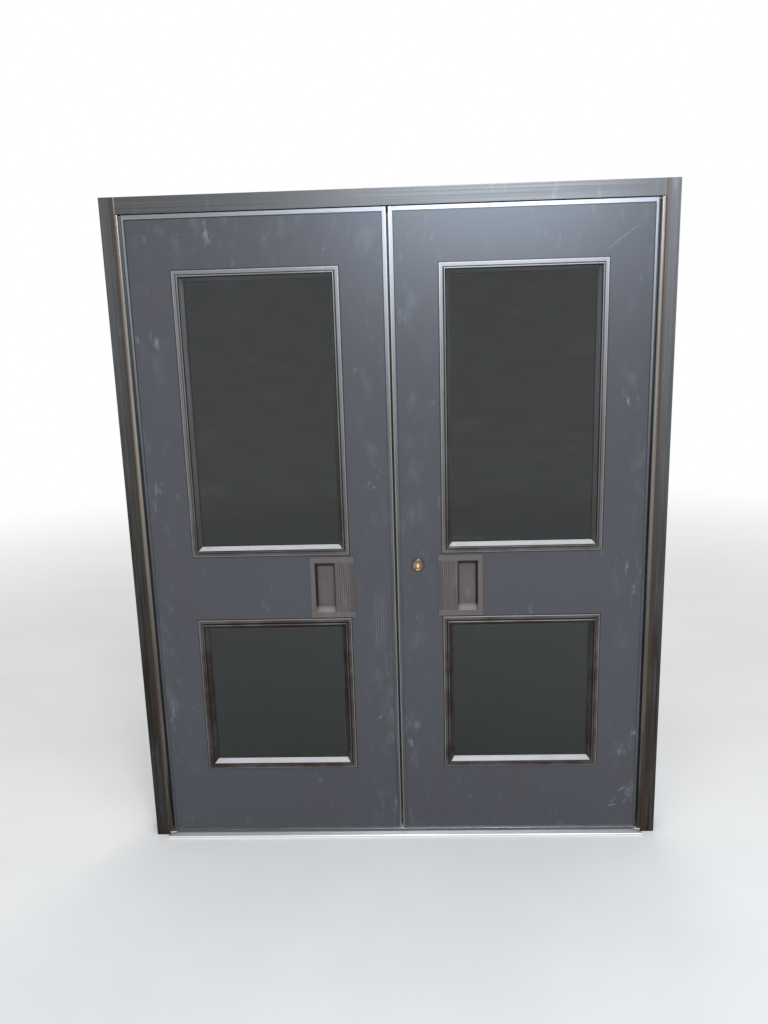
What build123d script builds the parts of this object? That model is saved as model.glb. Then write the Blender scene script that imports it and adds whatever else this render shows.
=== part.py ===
"""Pair of outward-opening entrance door leaves in their own frame.

Millimetres. X runs to the right as seen from outside, Y into the building, Z up. The origin
is on the floor, at the middle of the frame's width and depth. Everything that comes in a
pair is built on the right, and the left one is its mirror image.
"""
import math
import os

from build123d import *

# Frame: rectangular aluminium tubes, the head set between the jambs
FRAME_W = 1778.0
FRAME_H = 2184.4
FRAME_D = 114.3
JAMB_FACE = 47.6
HEAD_FACE = 50.8
FRAME_WALL = 3.2
ANCHOR_R = 5.0
ANCHOR_COUNT = 4
ANCHOR_FROM_FLOOR = 250.0
ANCHOR_FROM_TOP = 234.4
HEAD_ANCHOR_FROM_SIDE = 439.0

# Door stops on the frame, with a slot for the weatherstrip
STOP_H = 15.9
STOP_D = 32.6
STOP_WALL = 2.0
KERF_W = 3.0
KERF_DEPTH = 5.0
KERF_FROM_FRAME = 11.0
SEAL_W = 7.0
SEAL_GAP = 3.0
SEAL_CLEAR = 0.3

# Threshold: hollow saddle on legs, with a nose in front of the jambs
THRESHOLD_D = 127.0
THRESHOLD_H = 12.7
THRESHOLD_NOSE = 25.4
THRESHOLD_SLOPE = 16.0
THRESHOLD_LIP = 7.5
THRESHOLD_T = 3.0
THRESHOLD_NOSE_R = 2.5
THRESHOLD_END_BEVEL = 25.0
GROOVE_W = 1.6
GROOVE_DEPTH = 0.8
GROOVE_COUNT = 7

# Removable mullion behind the meeting edges
MULLION_W = 50.8
MULLION_D = 50.8
MULLION_WALL = 3.0
MULLION_SEAL_X = 14.0
FITTING_H = 40.0
FITTING_CLEAR = 0.5

# Leaf: tubular edge extrusions with lips that hold a face sheet on each side
LEAF_T = 44.45
LEAF_SETBACK = 2.15
LEAF_TOP_CLEAR = 3.2
LEAF_BOTTOM_CLEAR = 6.3
MEETING_GAP = 7.0
LIP_W = 12.5
LIP_T = 1.5
HINGE_LIP_W = 8.0
BOTTOM_LIP_W = 6.0
RELIEF_W = 8.0
RELIEF_DEPTH = 8.0
EDGE_T = 3.0
SHEET_T = 1.2
SHEET_CLEAR = 0.5
STILE_W = 50.0
TOP_RAIL_H = 60.0
BOTTOM_RAIL_H = 110.0
LEAF_WALL = 2.5
SWEEP_W = 16.0
SWEEP_BASE_T = 1.2
SWEEP_FIN_T = 1.6
SWEEP_CLEAR = 0.3

# Lights: each has a mitred glazing frame on both faces and an insulating glass unit
LIGHT_MARGIN = 152.35
UPPER_LIGHT_FROM_TOP = 169.4
LOWER_LIGHT_FROM_BOTTOM = 240.0
LOCK_RAIL_Z0 = 811.0
LOCK_RAIL_H = 224.0
BAND_W = 12.5
BAND_T = 3.0
BAND_EASE = 0.8
GROOVE_LINE = 1.0
GROOVE_LINE_T = 1.8
BEAD_R = 4.0
BEAD_RISE = 9.5
BEVEL_W = 11.5
BEVEL_LIP = 1.2
NECK_OUTER = 16.0
NECK_T = 3.5
NECK_CLEAR = 0.5
GLASS_INSET = 21.0
GLASS_T = 5.0
GLASS_GAP = 6.0
GASKET_T = 1.2
GASKET_W = 8.5
SPACER_W = 7.5
SPACER_SIGHT = 1.0

# Geared continuous hinge: a gear on each hinge leaf, rolling together inside a cap
HINGE_GAP = 8.2
STRAP_T = 3.0
STRAP_SETBACK = 2.5
GEAR_TEETH = 12
GEAR_PITCH_R = 3.1
GEAR_PRESSURE = 25.0
GEAR_ADDENDUM = 0.8
GEAR_DEDENDUM = 1.05
GEAR_BACKLASH = 0.1
GEAR_STANDOFF = 4.4
OPEN_ANGLE = 95.0
ROD_R = 1.2
ROD_CLEAR = 0.1
RING_OPEN = (125.0, 239.0)
CAP_CLEAR = 0.35
CAP_WALL = 1.4
CAP_END = 1.0
NECK_HALF = 0.5
BEARING_R = 2.5
BEARING_H = 20.0
BEARING_COUNT = 6
BEARING_CLEAR = 0.3

# Recessed pull with a ribbed grip plate
PULL_W = 148.0
PULL_FROM_EDGE = 137.5
PULL_ABOVE_LIGHT = 5.0
PULL_BELOW_LIGHT = 8.0
PULL_T = 2.5
PULL_GRIP_W = 65.0
PULL_BORDER = 16.0
PULL_TOP = 20.0
PULL_BOTTOM = 18.0
PULL_BAR_RISE = 1.6
PULL_DEPTH = 30.0
PULL_SLOPE_H = 22.0
PULL_PAN_INSET = 8.0
PULL_PAN_WALL = 1.6
PULL_PAN_CLEAR = 0.5
PULL_CORNER_R = 2.0
RIB_COUNT = 7
RIB_PITCH = 7.0
RIB_W = 4.0
RIB_H = 1.2
RIB_FROM_GRIP = 4.0

# Rim cylinder on the right leaf, and the height of both exit devices
DEVICE_BELOW_LIGHT = 41.5
CYLINDER_FROM_EDGE = 70.5
CYLINDER_R = 14.3
CYLINDER_PROUD = 5.5
CYLINDER_HOLE_CLEAR = 0.7
COLLAR_R = 21.5
COLLAR_T = 4.5
COLLAR_CLEAR = 0.1
CORE_R = 6.35
CORE_CLEAR = 0.07
CORE_PROUD = 0.5
CORE_LENGTH = 30.0
KEYWAY_W = 2.2
KEYWAY_H = 8.0
KEYWAY_DEPTH = 12.0

# Exit device on the inside of each leaf
CASE_FROM_EDGE = 46.5
CASE_W = 70.0
CASE_H = 203.0
CASE_D = 57.0
CASE_WALL = 2.5
CASE_FILLET = 6.0
LATCH_H = 28.0
LATCH_T = 17.5
LATCH_TIP_T = 4.5
LATCH_BEVEL = 10.0
LATCH_LENGTH = 54.0
LATCH_PROUD = 4.0
LATCH_CLEAR = 0.3
RAIL_H = 70.0
RAIL_D = 30.0
RAIL_WALL = 2.5
RAIL_FROM_HINGE_EDGE = 85.2
BAR_FROM_RAIL_END = 184.0
BAR_START = 14.0
BAR_D = 22.0
BAR_WALL = 2.5
BAR_CLEAR = 0.5
BAR_PROUD = 2.0
BAR_FILLET = 4.0
END_CAP_W = 27.0
END_CAP_OVER = 2.0

# Strikes on the mullion
STRIKE_T = 3.0
STRIKE_H = 76.0
STRIKE_D = 36.0
STRIKE_Y = 2.0
KEEPER_REACH = 16.6
KEEPER_D = 10.0
KEEPER_RAMP = 6.0
KEEPER_CLEAR = 0.5

# Places that follow from the sizes above
OPEN_X = FRAME_W / 2 - JAMB_FACE
OPEN_H = FRAME_H - HEAD_FACE
HEAD_ANCHOR_X = FRAME_W / 2 - HEAD_ANCHOR_FROM_SIDE
FACE_Y = -FRAME_D / 2
LEAF_Y0 = FACE_Y + LEAF_SETBACK
LEAF_Y1 = LEAF_Y0 + LEAF_T
LEAF_MID_Y = (LEAF_Y0 + LEAF_Y1) / 2
LEAF_X0 = MEETING_GAP / 2
LEAF_X1 = OPEN_X - HINGE_GAP
LEAF_Z0 = THRESHOLD_H + LEAF_BOTTOM_CLEAR
LEAF_Z1 = OPEN_H - LEAF_TOP_CLEAR
SHEET_OUT_Y = LEAF_Y0 + LIP_T
SHEET_IN_Y = LEAF_Y1 - LIP_T
TUBE_Y0 = SHEET_OUT_Y + SHEET_T
TUBE_Y1 = SHEET_IN_Y - SHEET_T
STOP_Y0 = LEAF_Y1 + SEAL_GAP
STOP_Y1 = STOP_Y0 + STOP_D
ANCHOR_Y = (STOP_Y1 + FRAME_D / 2 - FRAME_WALL) / 2
THRESHOLD_Y0 = FACE_Y - THRESHOLD_NOSE
THRESHOLD_Y1 = THRESHOLD_Y0 + THRESHOLD_D
MULLION_Z1 = OPEN_H - STOP_H
MULLION_Y1 = STOP_Y0 + MULLION_D
LIGHT_X0 = LEAF_X0 + LIGHT_MARGIN
LIGHT_X1 = LEAF_X1 - LIGHT_MARGIN
LOCK_RAIL_Z1 = LOCK_RAIL_Z0 + LOCK_RAIL_H
UPPER_LIGHT = (LOCK_RAIL_Z1, LEAF_Z1 - UPPER_LIGHT_FROM_TOP)
LOWER_LIGHT = (LEAF_Z0 + LOWER_LIGHT_FROM_BOTTOM, LOCK_RAIL_Z0)
LIGHTS = (UPPER_LIGHT, LOWER_LIGHT)
OUTER_LIP_END = RELIEF_W + HINGE_LIP_W
SHEET_Q = LEAF_T / 2 - LIP_T
GLASS_Q = GLASS_T + GLASS_GAP / 2
SIGHT_INSET = BAND_W + GROOVE_LINE + 2 * BEAD_R + BEVEL_W
HINGE_X = OPEN_X - HINGE_GAP / 2
FRAME_GEAR_X = HINGE_X + GEAR_PITCH_R
GEAR_Y = FACE_Y - GEAR_STANDOFF
CENTRES = 2 * GEAR_PITCH_R
MODULE = CENTRES / GEAR_TEETH
GEAR_TIP_R = GEAR_PITCH_R + GEAR_ADDENDUM * MODULE
GEAR_ROOT_R = GEAR_PITCH_R - GEAR_DEDENDUM * MODULE
BORE_R = ROD_R + ROD_CLEAR
PIVOT_OUT = GEAR_PITCH_R * math.tan(math.radians(OPEN_ANGLE / 4))
GEAR_PARTING = 2 * math.sin(math.radians(OPEN_ANGLE / 4)) * (
    PIVOT_OUT - GEAR_PITCH_R * math.tan(math.radians(OPEN_ANGLE / 8)))
CAP_INNER_R = GEAR_TIP_R + CAP_CLEAR
CAP_OUTER_R = CAP_INNER_R + CAP_WALL
PULL_X0 = LEAF_X0 + PULL_FROM_EDGE
PULL_X1 = PULL_X0 + PULL_W
PULL_Z0 = LOCK_RAIL_Z0 + PULL_ABOVE_LIGHT
PULL_Z1 = LOCK_RAIL_Z1 - PULL_BELOW_LIGHT
DEVICE_Z = LOCK_RAIL_Z1 - DEVICE_BELOW_LIGHT
CYLINDER_X = LEAF_X0 + CYLINDER_FROM_EDGE
CASE_X0 = LEAF_X0 + CASE_FROM_EDGE
CASE_X1 = CASE_X0 + CASE_W
RAIL_X1 = LEAF_X1 - RAIL_FROM_HINGE_EDGE
RAIL_Y1 = SHEET_IN_Y + RAIL_D
BAR_X0 = CASE_X1 + BAR_START
BAR_X1 = RAIL_X1 - BAR_FROM_RAIL_END
BAR_Y1 = RAIL_Y1 + BAR_PROUD
STRIKE_X0 = MULLION_W / 2
KEEPER_Y1 = STRIKE_Y + KEEPER_D
LATCH_Y0 = KEEPER_Y1 + KEEPER_CLEAR


def block(x0, x1, y0, y1, z0, z1):
    """Box between two corners."""
    return Pos((x0 + x1) / 2, (y0 + y1) / 2, (z0 + z1) / 2) * Box(x1 - x0, y1 - y0, z1 - z0)


def outline(points):
    """Flat face inside a closed run of straight lines."""
    return make_face(Polyline(*points, close=True))


def rectangle(a0, a1, b0, b1):
    """Flat rectangle between two corners."""
    return outline([(a0, b0), (a1, b0), (a1, b1), (a0, b1)])


def along_x(section, x0, x1):
    """Extrusion along X of a section drawn as (y, z)."""
    return extrude(Plane.YZ.offset(x0) * section, amount=x1 - x0)


def along_z(section, z0, z1):
    """Extrusion along Z of a section drawn as (x, y)."""
    return extrude(Plane.XY.offset(z0) * section, amount=z1 - z0)


def rod_y(x, z, y0, y1, radius):
    """Round rod along Y."""
    return Pos(x, (y0 + y1) / 2, z) * Rot(90, 0, 0) * Cylinder(radius, y1 - y0)


def mirrored(shape):
    """The left-hand copy of a right-hand piece."""
    return mirror(shape, about=Plane.YZ)


# Frame

def jamb():
    """Right jamb: a tube through to the top, with anchor holes through both walls."""
    x0, x1 = OPEN_X, OPEN_X + JAMB_FACE
    section = rectangle(x0, x1, FACE_Y, -FACE_Y)
    section -= rectangle(x0 + FRAME_WALL, x1 - FRAME_WALL, FACE_Y + FRAME_WALL, -FACE_Y - FRAME_WALL)
    tube = along_z(section, 0, FRAME_H)
    pitch = (FRAME_H - ANCHOR_FROM_FLOOR - ANCHOR_FROM_TOP) / (ANCHOR_COUNT - 1)
    for k in range(ANCHOR_COUNT):
        hole = Pos(OPEN_X + JAMB_FACE / 2, ANCHOR_Y, ANCHOR_FROM_FLOOR + k * pitch) * Rot(0, 90, 0)
        tube -= hole * Cylinder(ANCHOR_R, 2 * JAMB_FACE)
    return tube


def head():
    """Head tube, cut square between the jambs, with two anchor holes."""
    section = rectangle(FACE_Y, -FACE_Y, OPEN_H, FRAME_H)
    section -= rectangle(FACE_Y + FRAME_WALL, -FACE_Y - FRAME_WALL, OPEN_H + FRAME_WALL, FRAME_H - FRAME_WALL)
    tube = along_x(section, -OPEN_X, OPEN_X)
    for x in (-HEAD_ANCHOR_X, HEAD_ANCHOR_X):
        tube -= Pos(x, ANCHOR_Y, OPEN_H + HEAD_FACE / 2) * Cylinder(ANCHOR_R, 2 * HEAD_FACE)
    return tube


def stop_section():
    """Hollow stop as (distance from the frame, y), with the weatherstrip's slot."""
    section = rectangle(0, STOP_H, STOP_Y0, STOP_Y1)
    chamber_y = STOP_Y0 + KERF_DEPTH + STOP_WALL
    section -= rectangle(STOP_WALL, STOP_H - STOP_WALL, chamber_y, STOP_Y1 - STOP_WALL)
    slot = (KERF_FROM_FRAME - KERF_W / 2, KERF_FROM_FRAME + KERF_W / 2)
    return section - rectangle(*slot, STOP_Y0, STOP_Y0 + KERF_DEPTH)


def side_stop():
    """Right stop, from the threshold to the head."""
    section = Pos(OPEN_X, 0) * mirror(stop_section(), about=Plane.YZ)
    return along_z(section, THRESHOLD_H, OPEN_H)


def head_stop():
    """Head stop between the side stops."""
    section = Pos(0, OPEN_H) * Rot(0, 0, -90) * stop_section()
    reach = OPEN_X - STOP_H
    return along_x(section, -reach, reach)


def bulb(centre, stem):
    """Weatherstrip section: a rounded bulb on the stop's face, with a stem if it has a slot."""
    half = SEAL_W / 2
    left, right = (centre - half, STOP_Y0), (centre + half, STOP_Y0)
    crown = (centre, STOP_Y0 - SEAL_GAP + SEAL_CLEAR)
    section = make_face([ThreePointArc(left, crown, right), Line(right, left)])
    if stem:
        section += rectangle(centre - KERF_W / 2, centre + KERF_W / 2, STOP_Y0, STOP_Y0 + KERF_DEPTH)
    return section


def weatherstrips():
    """Strips on the two side stops, the head stop and the mullion's front."""
    side = along_z(bulb(OPEN_X - KERF_FROM_FRAME, True), THRESHOLD_H, OPEN_H)
    inner = along_z(bulb(MULLION_SEAL_X, False), THRESHOLD_H, MULLION_Z1)
    reach = OPEN_X - STOP_H
    top = along_z(bulb(0, True), -reach, reach)
    top = Pos(0, 0, OPEN_H - KERF_FROM_FRAME) * Rot(0, 90, 0) * top
    return [side, mirrored(side), inner, mirrored(inner), top]


def threshold():
    """Fluted saddle between the jambs: legs under a thin top, its nose bevelled down at both ends."""
    top0, top1 = THRESHOLD_Y0 + THRESHOLD_SLOPE, THRESHOLD_Y1 - THRESHOLD_SLOPE / 2
    inside0, inside1 = THRESHOLD_Y0 + THRESHOLD_T, THRESHOLD_Y1 - THRESHOLD_T
    under = THRESHOLD_H - THRESHOLD_T
    section = outline([
        (THRESHOLD_Y0, 0), (THRESHOLD_Y0, THRESHOLD_LIP), (top0, THRESHOLD_H),
        (top1, THRESHOLD_H), (THRESHOLD_Y1, THRESHOLD_LIP), (THRESHOLD_Y1, 0)])
    section = fillet(section.vertices().sort_by(Axis.X)[:2].sort_by(Axis.Y)[-1:], THRESHOLD_NOSE_R)
    hollow = outline([(inside0, 0), (top0, under), (top1, under), (inside1, 0)])
    for leg_y in (FACE_Y + THRESHOLD_T, 0):
        hollow -= rectangle(leg_y - THRESHOLD_T / 2, leg_y + THRESHOLD_T / 2, 0, THRESHOLD_H)
    section -= hollow
    pitch = (STOP_Y0 - LEAF_Y0) / (GROOVE_COUNT + 1)
    for k in range(GROOVE_COUNT):
        groove_y = LEAF_Y0 + pitch * (k + 1)
        section -= rectangle(
            groove_y - GROOVE_W / 2, groove_y + GROOVE_W / 2, THRESHOLD_H - GROOVE_DEPTH, THRESHOLD_H)
    saddle = along_x(section, -OPEN_X, OPEN_X)
    bevel = outline([
        (OPEN_X - THRESHOLD_END_BEVEL, THRESHOLD_H), (OPEN_X, THRESHOLD_H), (OPEN_X, THRESHOLD_LIP)])
    bevel = extrude(Plane.XZ.offset(-FACE_Y) * bevel, amount=THRESHOLD_NOSE)
    return saddle - bevel - mirrored(bevel)


def mullion():
    """Square tube behind the meeting edges."""
    half = MULLION_W / 2
    section = rectangle(-half, half, STOP_Y0, MULLION_Y1)
    section -= rectangle(
        -half + MULLION_WALL, half - MULLION_WALL, STOP_Y0 + MULLION_WALL, MULLION_Y1 - MULLION_WALL)
    return along_z(section, THRESHOLD_H, MULLION_Z1)


def mullion_fittings():
    """Foot inside the tube on the threshold, and a tongue from the tube up to the head."""
    half = MULLION_W / 2 - MULLION_WALL - FITTING_CLEAR
    y0 = STOP_Y0 + MULLION_WALL + FITTING_CLEAR
    y1 = MULLION_Y1 - MULLION_WALL - FITTING_CLEAR
    foot = block(-half, half, y0, y1, THRESHOLD_H, THRESHOLD_H + FITTING_H)
    tongue = block(-half, half, STOP_Y1, y1, MULLION_Z1 - FITTING_H, OPEN_H)
    return [foot, tongue]


def strike():
    """Plate on the mullion's side with a ramped keeper that the latch drops behind."""
    tip_x = STRIKE_X0 + KEEPER_REACH
    section = outline([
        (STRIKE_X0, STRIKE_Y), (tip_x - KEEPER_RAMP / 2, STRIKE_Y),
        (tip_x, STRIKE_Y + KEEPER_RAMP), (tip_x, KEEPER_Y1), (STRIKE_X0 + STRIKE_T, KEEPER_Y1),
        (STRIKE_X0 + STRIKE_T, STRIKE_Y + STRIKE_D), (STRIKE_X0, STRIKE_Y + STRIKE_D)])
    return along_z(section, DEVICE_Z - STRIKE_H / 2, DEVICE_Z + STRIKE_H / 2)


# Geared hinge, drawn as (u, v): u from the frame's gear to the leaf's gear, v outwards

def on_hinge(section, z0, z1):
    """Extrude a hinge section up the right-hand door edge."""
    plane = Plane(origin=(FRAME_GEAR_X, GEAR_Y, z0), x_dir=(-1, 0, 0), z_dir=(0, 0, 1))
    return extrude(plane * section, amount=z1 - z0)


def involute(angle):
    """Involute function of an angle in radians."""
    return math.tan(angle) - angle


def tooth(centre_deg):
    """One involute tooth of a gear centred on the origin."""
    pressure = math.radians(GEAR_PRESSURE)
    base_r = GEAR_PITCH_R * math.cos(pressure)
    half_pitch = math.pi / (2 * GEAR_TEETH) - GEAR_BACKLASH / (2 * GEAR_PITCH_R)
    steps = 4
    radii = [base_r + (GEAR_TIP_R - base_r) * k / steps for k in range(steps + 1)]
    flank = [(r, half_pitch + involute(pressure) - involute(math.acos(base_r / r))) for r in radii]
    foot = (GEAR_ROOT_R - ROD_CLEAR, flank[0][1])
    side = [foot] + flank
    centre = math.radians(centre_deg)
    polar = [(r, centre - a) for r, a in side] + [(r, centre + a) for r, a in reversed(side)]
    return outline([(r * math.cos(a), r * math.sin(a)) for r, a in polar])


def gear_section(first_tooth, bore_r):
    """Hinge leaf: a strap, and a gear ring that is open where the cap's neck swings."""
    pitch = 360 / GEAR_TEETH
    strap_u = FRAME_GEAR_X - OPEN_X
    strap_end = GEAR_Y - LEAF_Y1 + STRAP_SETBACK
    section = Circle(GEAR_ROOT_R) + rectangle(strap_u, strap_u + STRAP_T, strap_end, -bore_r / 2)
    far = 2 * CAP_OUTER_R
    directions = [RING_OPEN[0], sum(RING_OPEN) / 2, RING_OPEN[1]]
    rays = [(far * math.cos(math.radians(a)), far * math.sin(math.radians(a))) for a in directions]
    section -= outline([(0, 0)] + rays)
    for k in range(3):
        section += tooth(first_tooth + k * pitch)
    return section - Circle(bore_r)


def bearing_levels():
    """Heights of the thrust bearings' centres."""
    pitch = (LEAF_Z1 - LEAF_Z0) / BEARING_COUNT
    return [LEAF_Z0 + pitch * (k + 0.5) for k in range(BEARING_COUNT)]


def notched(hinge_leaf):
    """Cut the gear away where the thrust bearings sit."""
    reach = CENTRES + 2 * CAP_OUTER_R
    low = -BEARING_R - BEARING_CLEAR
    notch = rectangle(-reach, reach, low, reach)
    half = BEARING_H / 2 + BEARING_CLEAR
    for level in bearing_levels():
        hinge_leaf -= on_hinge(notch, level - half, level + half)
    return hinge_leaf


def hinge_frame_leaf():
    """Hinge leaf on the jamb."""
    return notched(on_hinge(gear_section(0, BORE_R), LEAF_Z0, LEAF_Z1))


def hinge_door_leaf():
    """Hinge leaf on the door's edge, half a tooth round so that the gears mesh.

    The leaf turns on one fixed axis, so halfway open its gear stands off by GEAR_PARTING, and
    its bore is that much wider round the cap's rod.
    """
    ring = gear_section(-180 / GEAR_TEETH, BORE_R + GEAR_PARTING)
    section = mirror(ring, about=Plane.YZ.offset(CENTRES / 2))
    return notched(on_hinge(section, LEAF_Z0, LEAF_Z1))


def cap_section():
    """Cap: a rounded channel whose two edges turn in to rods inside the gears."""
    shell = Circle(CAP_OUTER_R) + Pos(CENTRES, 0) * Circle(CAP_OUTER_R)
    shell += rectangle(0, CENTRES, 0, CAP_OUTER_R)
    shell &= rectangle(-CAP_OUTER_R, CENTRES + CAP_OUTER_R, CAP_END, CAP_OUTER_R)
    inside = Circle(CAP_INNER_R) + Pos(CENTRES, 0) * Circle(CAP_INNER_R)
    inside += rectangle(0, CENTRES, -CAP_INNER_R, CAP_INNER_R)
    root = -CAP_INNER_R - CAP_WALL / 2
    neck = outline([
        (root, CAP_END), (root, CAP_END + 2 * NECK_HALF), (0, NECK_HALF), (0, -NECK_HALF)])
    neck += Circle(ROD_R)
    return (shell - inside) + neck + mirror(neck, about=Plane.YZ.offset(CENTRES / 2))


def hinge_cap():
    """The full-height cap."""
    return on_hinge(cap_section(), LEAF_Z0, LEAF_Z1)


def hinge_bearings():
    """Moulded blocks on the cap's rods, between the notches of both hinge leaves."""
    section = Circle(BEARING_R) + Pos(CENTRES, 0) * Circle(BEARING_R)
    section += rectangle(0, CENTRES, -BEARING_CLEAR, CAP_INNER_R)
    section -= cap_section()
    half = BEARING_H / 2
    return [on_hinge(section, level - half, level + half) for level in bearing_levels()]


# Leaf

def stile_section(edge_x, inward, lip_end):
    """Hollow stile with its edge at edge_x; inward is +1 or -1 along X."""
    def span(near, far):
        return sorted((edge_x + inward * near, edge_x + inward * far))
    section = rectangle(*span(0, STILE_W), TUBE_Y0, TUBE_Y1)
    section -= rectangle(*span(EDGE_T, STILE_W - LEAF_WALL), TUBE_Y0 + LEAF_WALL, TUBE_Y1 - LEAF_WALL)
    section += rectangle(*span(0, EDGE_T), LEAF_Y0, LEAF_Y1)
    section += rectangle(*span(0, lip_end), LEAF_Y0, SHEET_OUT_Y)
    return section + rectangle(*span(0, LIP_W), SHEET_IN_Y, LEAF_Y1)


def stile_meeting():
    """Stile along the gap between the leaves."""
    return along_z(stile_section(LEAF_X0, 1, LIP_W), LEAF_Z0, LEAF_Z1)


def stile_hinge():
    """Stile on the hinge, its outer corner stepped back beside the cap."""
    section = stile_section(LEAF_X1, -1, OUTER_LIP_END)
    step_x, step_y = LEAF_X1 - RELIEF_W, LEAF_Y0 + RELIEF_DEPTH
    section += rectangle(step_x - LEAF_WALL, LEAF_X1, LEAF_Y0, step_y + LEAF_WALL)
    section -= rectangle(step_x, LEAF_X1, LEAF_Y0, step_y)
    return along_z(section, LEAF_Z0, LEAF_Z1)


def rail(edge_z, upward, height, outer_lip_w):
    """Rail between the stiles, its lips running on to the stiles' lips."""
    def span(near, far):
        return sorted((edge_z + upward * near, edge_z + upward * far))
    tube = rectangle(TUBE_Y0, TUBE_Y1, *span(0, height))
    tube -= rectangle(TUBE_Y0 + LEAF_WALL, TUBE_Y1 - LEAF_WALL, *span(EDGE_T, height - LEAF_WALL))
    tube += rectangle(LEAF_Y0, LEAF_Y1, *span(0, EDGE_T))
    outer_lip = rectangle(LEAF_Y0, SHEET_OUT_Y, *span(0, outer_lip_w))
    inner_lip = rectangle(SHEET_IN_Y, LEAF_Y1, *span(0, LIP_W))
    body = along_x(tube, LEAF_X0 + STILE_W, LEAF_X1 - STILE_W)
    body += along_x(outer_lip, LEAF_X0 + LIP_W, LEAF_X1 - OUTER_LIP_END)
    return body + along_x(inner_lip, LEAF_X0 + LIP_W, LEAF_X1 - LIP_W)


def cylinder_hole(y0, y1):
    """Clearance hole for the rim cylinder."""
    return rod_y(CYLINDER_X, DEVICE_Z, y0, y1, CYLINDER_R + CYLINDER_HOLE_CLEAR)


def light_holes(y0, y1):
    """Openings for the necks of the glazing frames."""
    inset = NECK_OUTER - NECK_CLEAR
    return [block(LIGHT_X0 + inset, LIGHT_X1 - inset, y0, y1, z0 + inset, z1 - inset) for z0, z1 in LIGHTS]


def pull_pocket():
    """Opening for the pan of the recessed pull."""
    inset = PULL_PAN_INSET - PULL_PAN_CLEAR
    return block(
        PULL_X0 + inset, PULL_X1 - inset, LEAF_Y0, SHEET_OUT_Y + PULL_DEPTH + PULL_PAN_CLEAR,
        PULL_Z0 + inset, PULL_Z1 - inset)


def sheet(y0, hinge_side, has_pull, has_cylinder):
    """Face sheet held behind the lips, with its cut-outs; hinge_side is the wall it ends at."""
    inset = EDGE_T + SHEET_CLEAR
    y1 = y0 + SHEET_T
    x1 = LEAF_X1 - hinge_side - SHEET_CLEAR
    plate = block(LEAF_X0 + inset, x1, y0, y1, LEAF_Z0 + inset, LEAF_Z1 - inset)
    for hole in light_holes(y0, y1):
        plate -= hole
    if has_pull:
        plate -= pull_pocket()
    if has_cylinder:
        plate -= cylinder_hole(y0, y1)
    return plate


def core(has_cylinder):
    """Filling between the sheets, inside the stiles and rails."""
    filling = block(
        LEAF_X0 + STILE_W, LEAF_X1 - STILE_W, TUBE_Y0, TUBE_Y1,
        LEAF_Z0 + BOTTOM_RAIL_H, LEAF_Z1 - TOP_RAIL_H)
    for hole in light_holes(TUBE_Y0, TUBE_Y1):
        filling -= hole
    filling -= pull_pocket()
    if has_cylinder:
        filling -= cylinder_hole(TUBE_Y0, TUBE_Y1)
    return filling


def door_sweep():
    """Seal under the bottom rail: a flat base and two fins that brush the threshold."""
    y0, y1 = LEAF_MID_Y - SWEEP_W / 2, LEAF_MID_Y + SWEEP_W / 2
    low = THRESHOLD_H + SWEEP_CLEAR
    section = rectangle(y0, y1, LEAF_Z0 - SWEEP_BASE_T, LEAF_Z0)
    section += rectangle(y0, y0 + SWEEP_FIN_T, low, LEAF_Z0)
    section += rectangle(y1 - SWEEP_FIN_T, y1, low, LEAF_Z0)
    return along_x(section, LEAF_X0, LEAF_X1)


# Glazing, sections drawn as (s, q): s inwards from the light's outer edge, q out from the
# leaf's middle plane

def glazing_section():
    """Flat band, groove, rounded bead, bevel down to the glass, and a neck into the leaf."""
    bead_s0 = BAND_W + GROOVE_LINE
    bead_s1 = bead_s0 + 2 * BEAD_R
    shoulder = SHEET_Q + BEAD_RISE - BEAD_R
    seat = GLASS_Q + GASKET_T
    band = SHEET_Q + BAND_T
    before = Polyline(
        (0, SHEET_Q), (0, band - BAND_EASE), (BAND_EASE, band), (BAND_W, band),
        (BAND_W, SHEET_Q + GROOVE_LINE_T), (bead_s0, SHEET_Q + GROOVE_LINE_T), (bead_s0, shoulder))
    crown = ThreePointArc(
        (bead_s0, shoulder), (bead_s0 + BEAD_R, shoulder + BEAD_R), (bead_s1, shoulder))
    after = Polyline(
        (bead_s1, shoulder), (SIGHT_INSET, seat + BEVEL_LIP), (SIGHT_INSET, seat),
        (NECK_OUTER + NECK_T, seat), (NECK_OUTER + NECK_T, 0), (NECK_OUTER, 0),
        (NECK_OUTER, SHEET_Q), (0, SHEET_Q))
    return make_face([before, crown, after])


def mitred_bars(section, z0, z1):
    """Four bars round a light, their ends cut at 45 degrees."""
    corners = [(LIGHT_X0, z0), (LIGHT_X1, z0), (LIGHT_X1, z1), (LIGHT_X0, z1)]
    bars = []
    for k, (x, z) in enumerate(corners):
        end_x, end_z = corners[(k + 1) % 4]
        along = Vector(end_x - x, 0, end_z - z).normalized()
        inward = Vector(-along.Z, 0, along.X)
        start, end = Vector(x, LEAF_MID_Y, z), Vector(end_x, LEAF_MID_Y, end_z)
        bar = extrude(Plane(origin=start, x_dir=inward, z_dir=along) * section, amount=(end - start).length)
        bar = split(bar, bisect_by=Plane(origin=start, z_dir=along - inward), keep=Keep.TOP)
        bar = split(bar, bisect_by=Plane(origin=end, z_dir=-along - inward), keep=Keep.TOP)
        bars.append(bar)
    return bars


def to_inside(shape):
    """Copy of an outside piece on the leaf's inner face."""
    return mirror(shape, about=Plane(origin=(0, LEAF_MID_Y, 0), z_dir=(0, 1, 0)))


def glazing_frames():
    """The eight outside bars of a leaf's two lights."""
    section = glazing_section()
    return [bar for z0, z1 in LIGHTS for bar in mitred_bars(section, z0, z1)]


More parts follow.
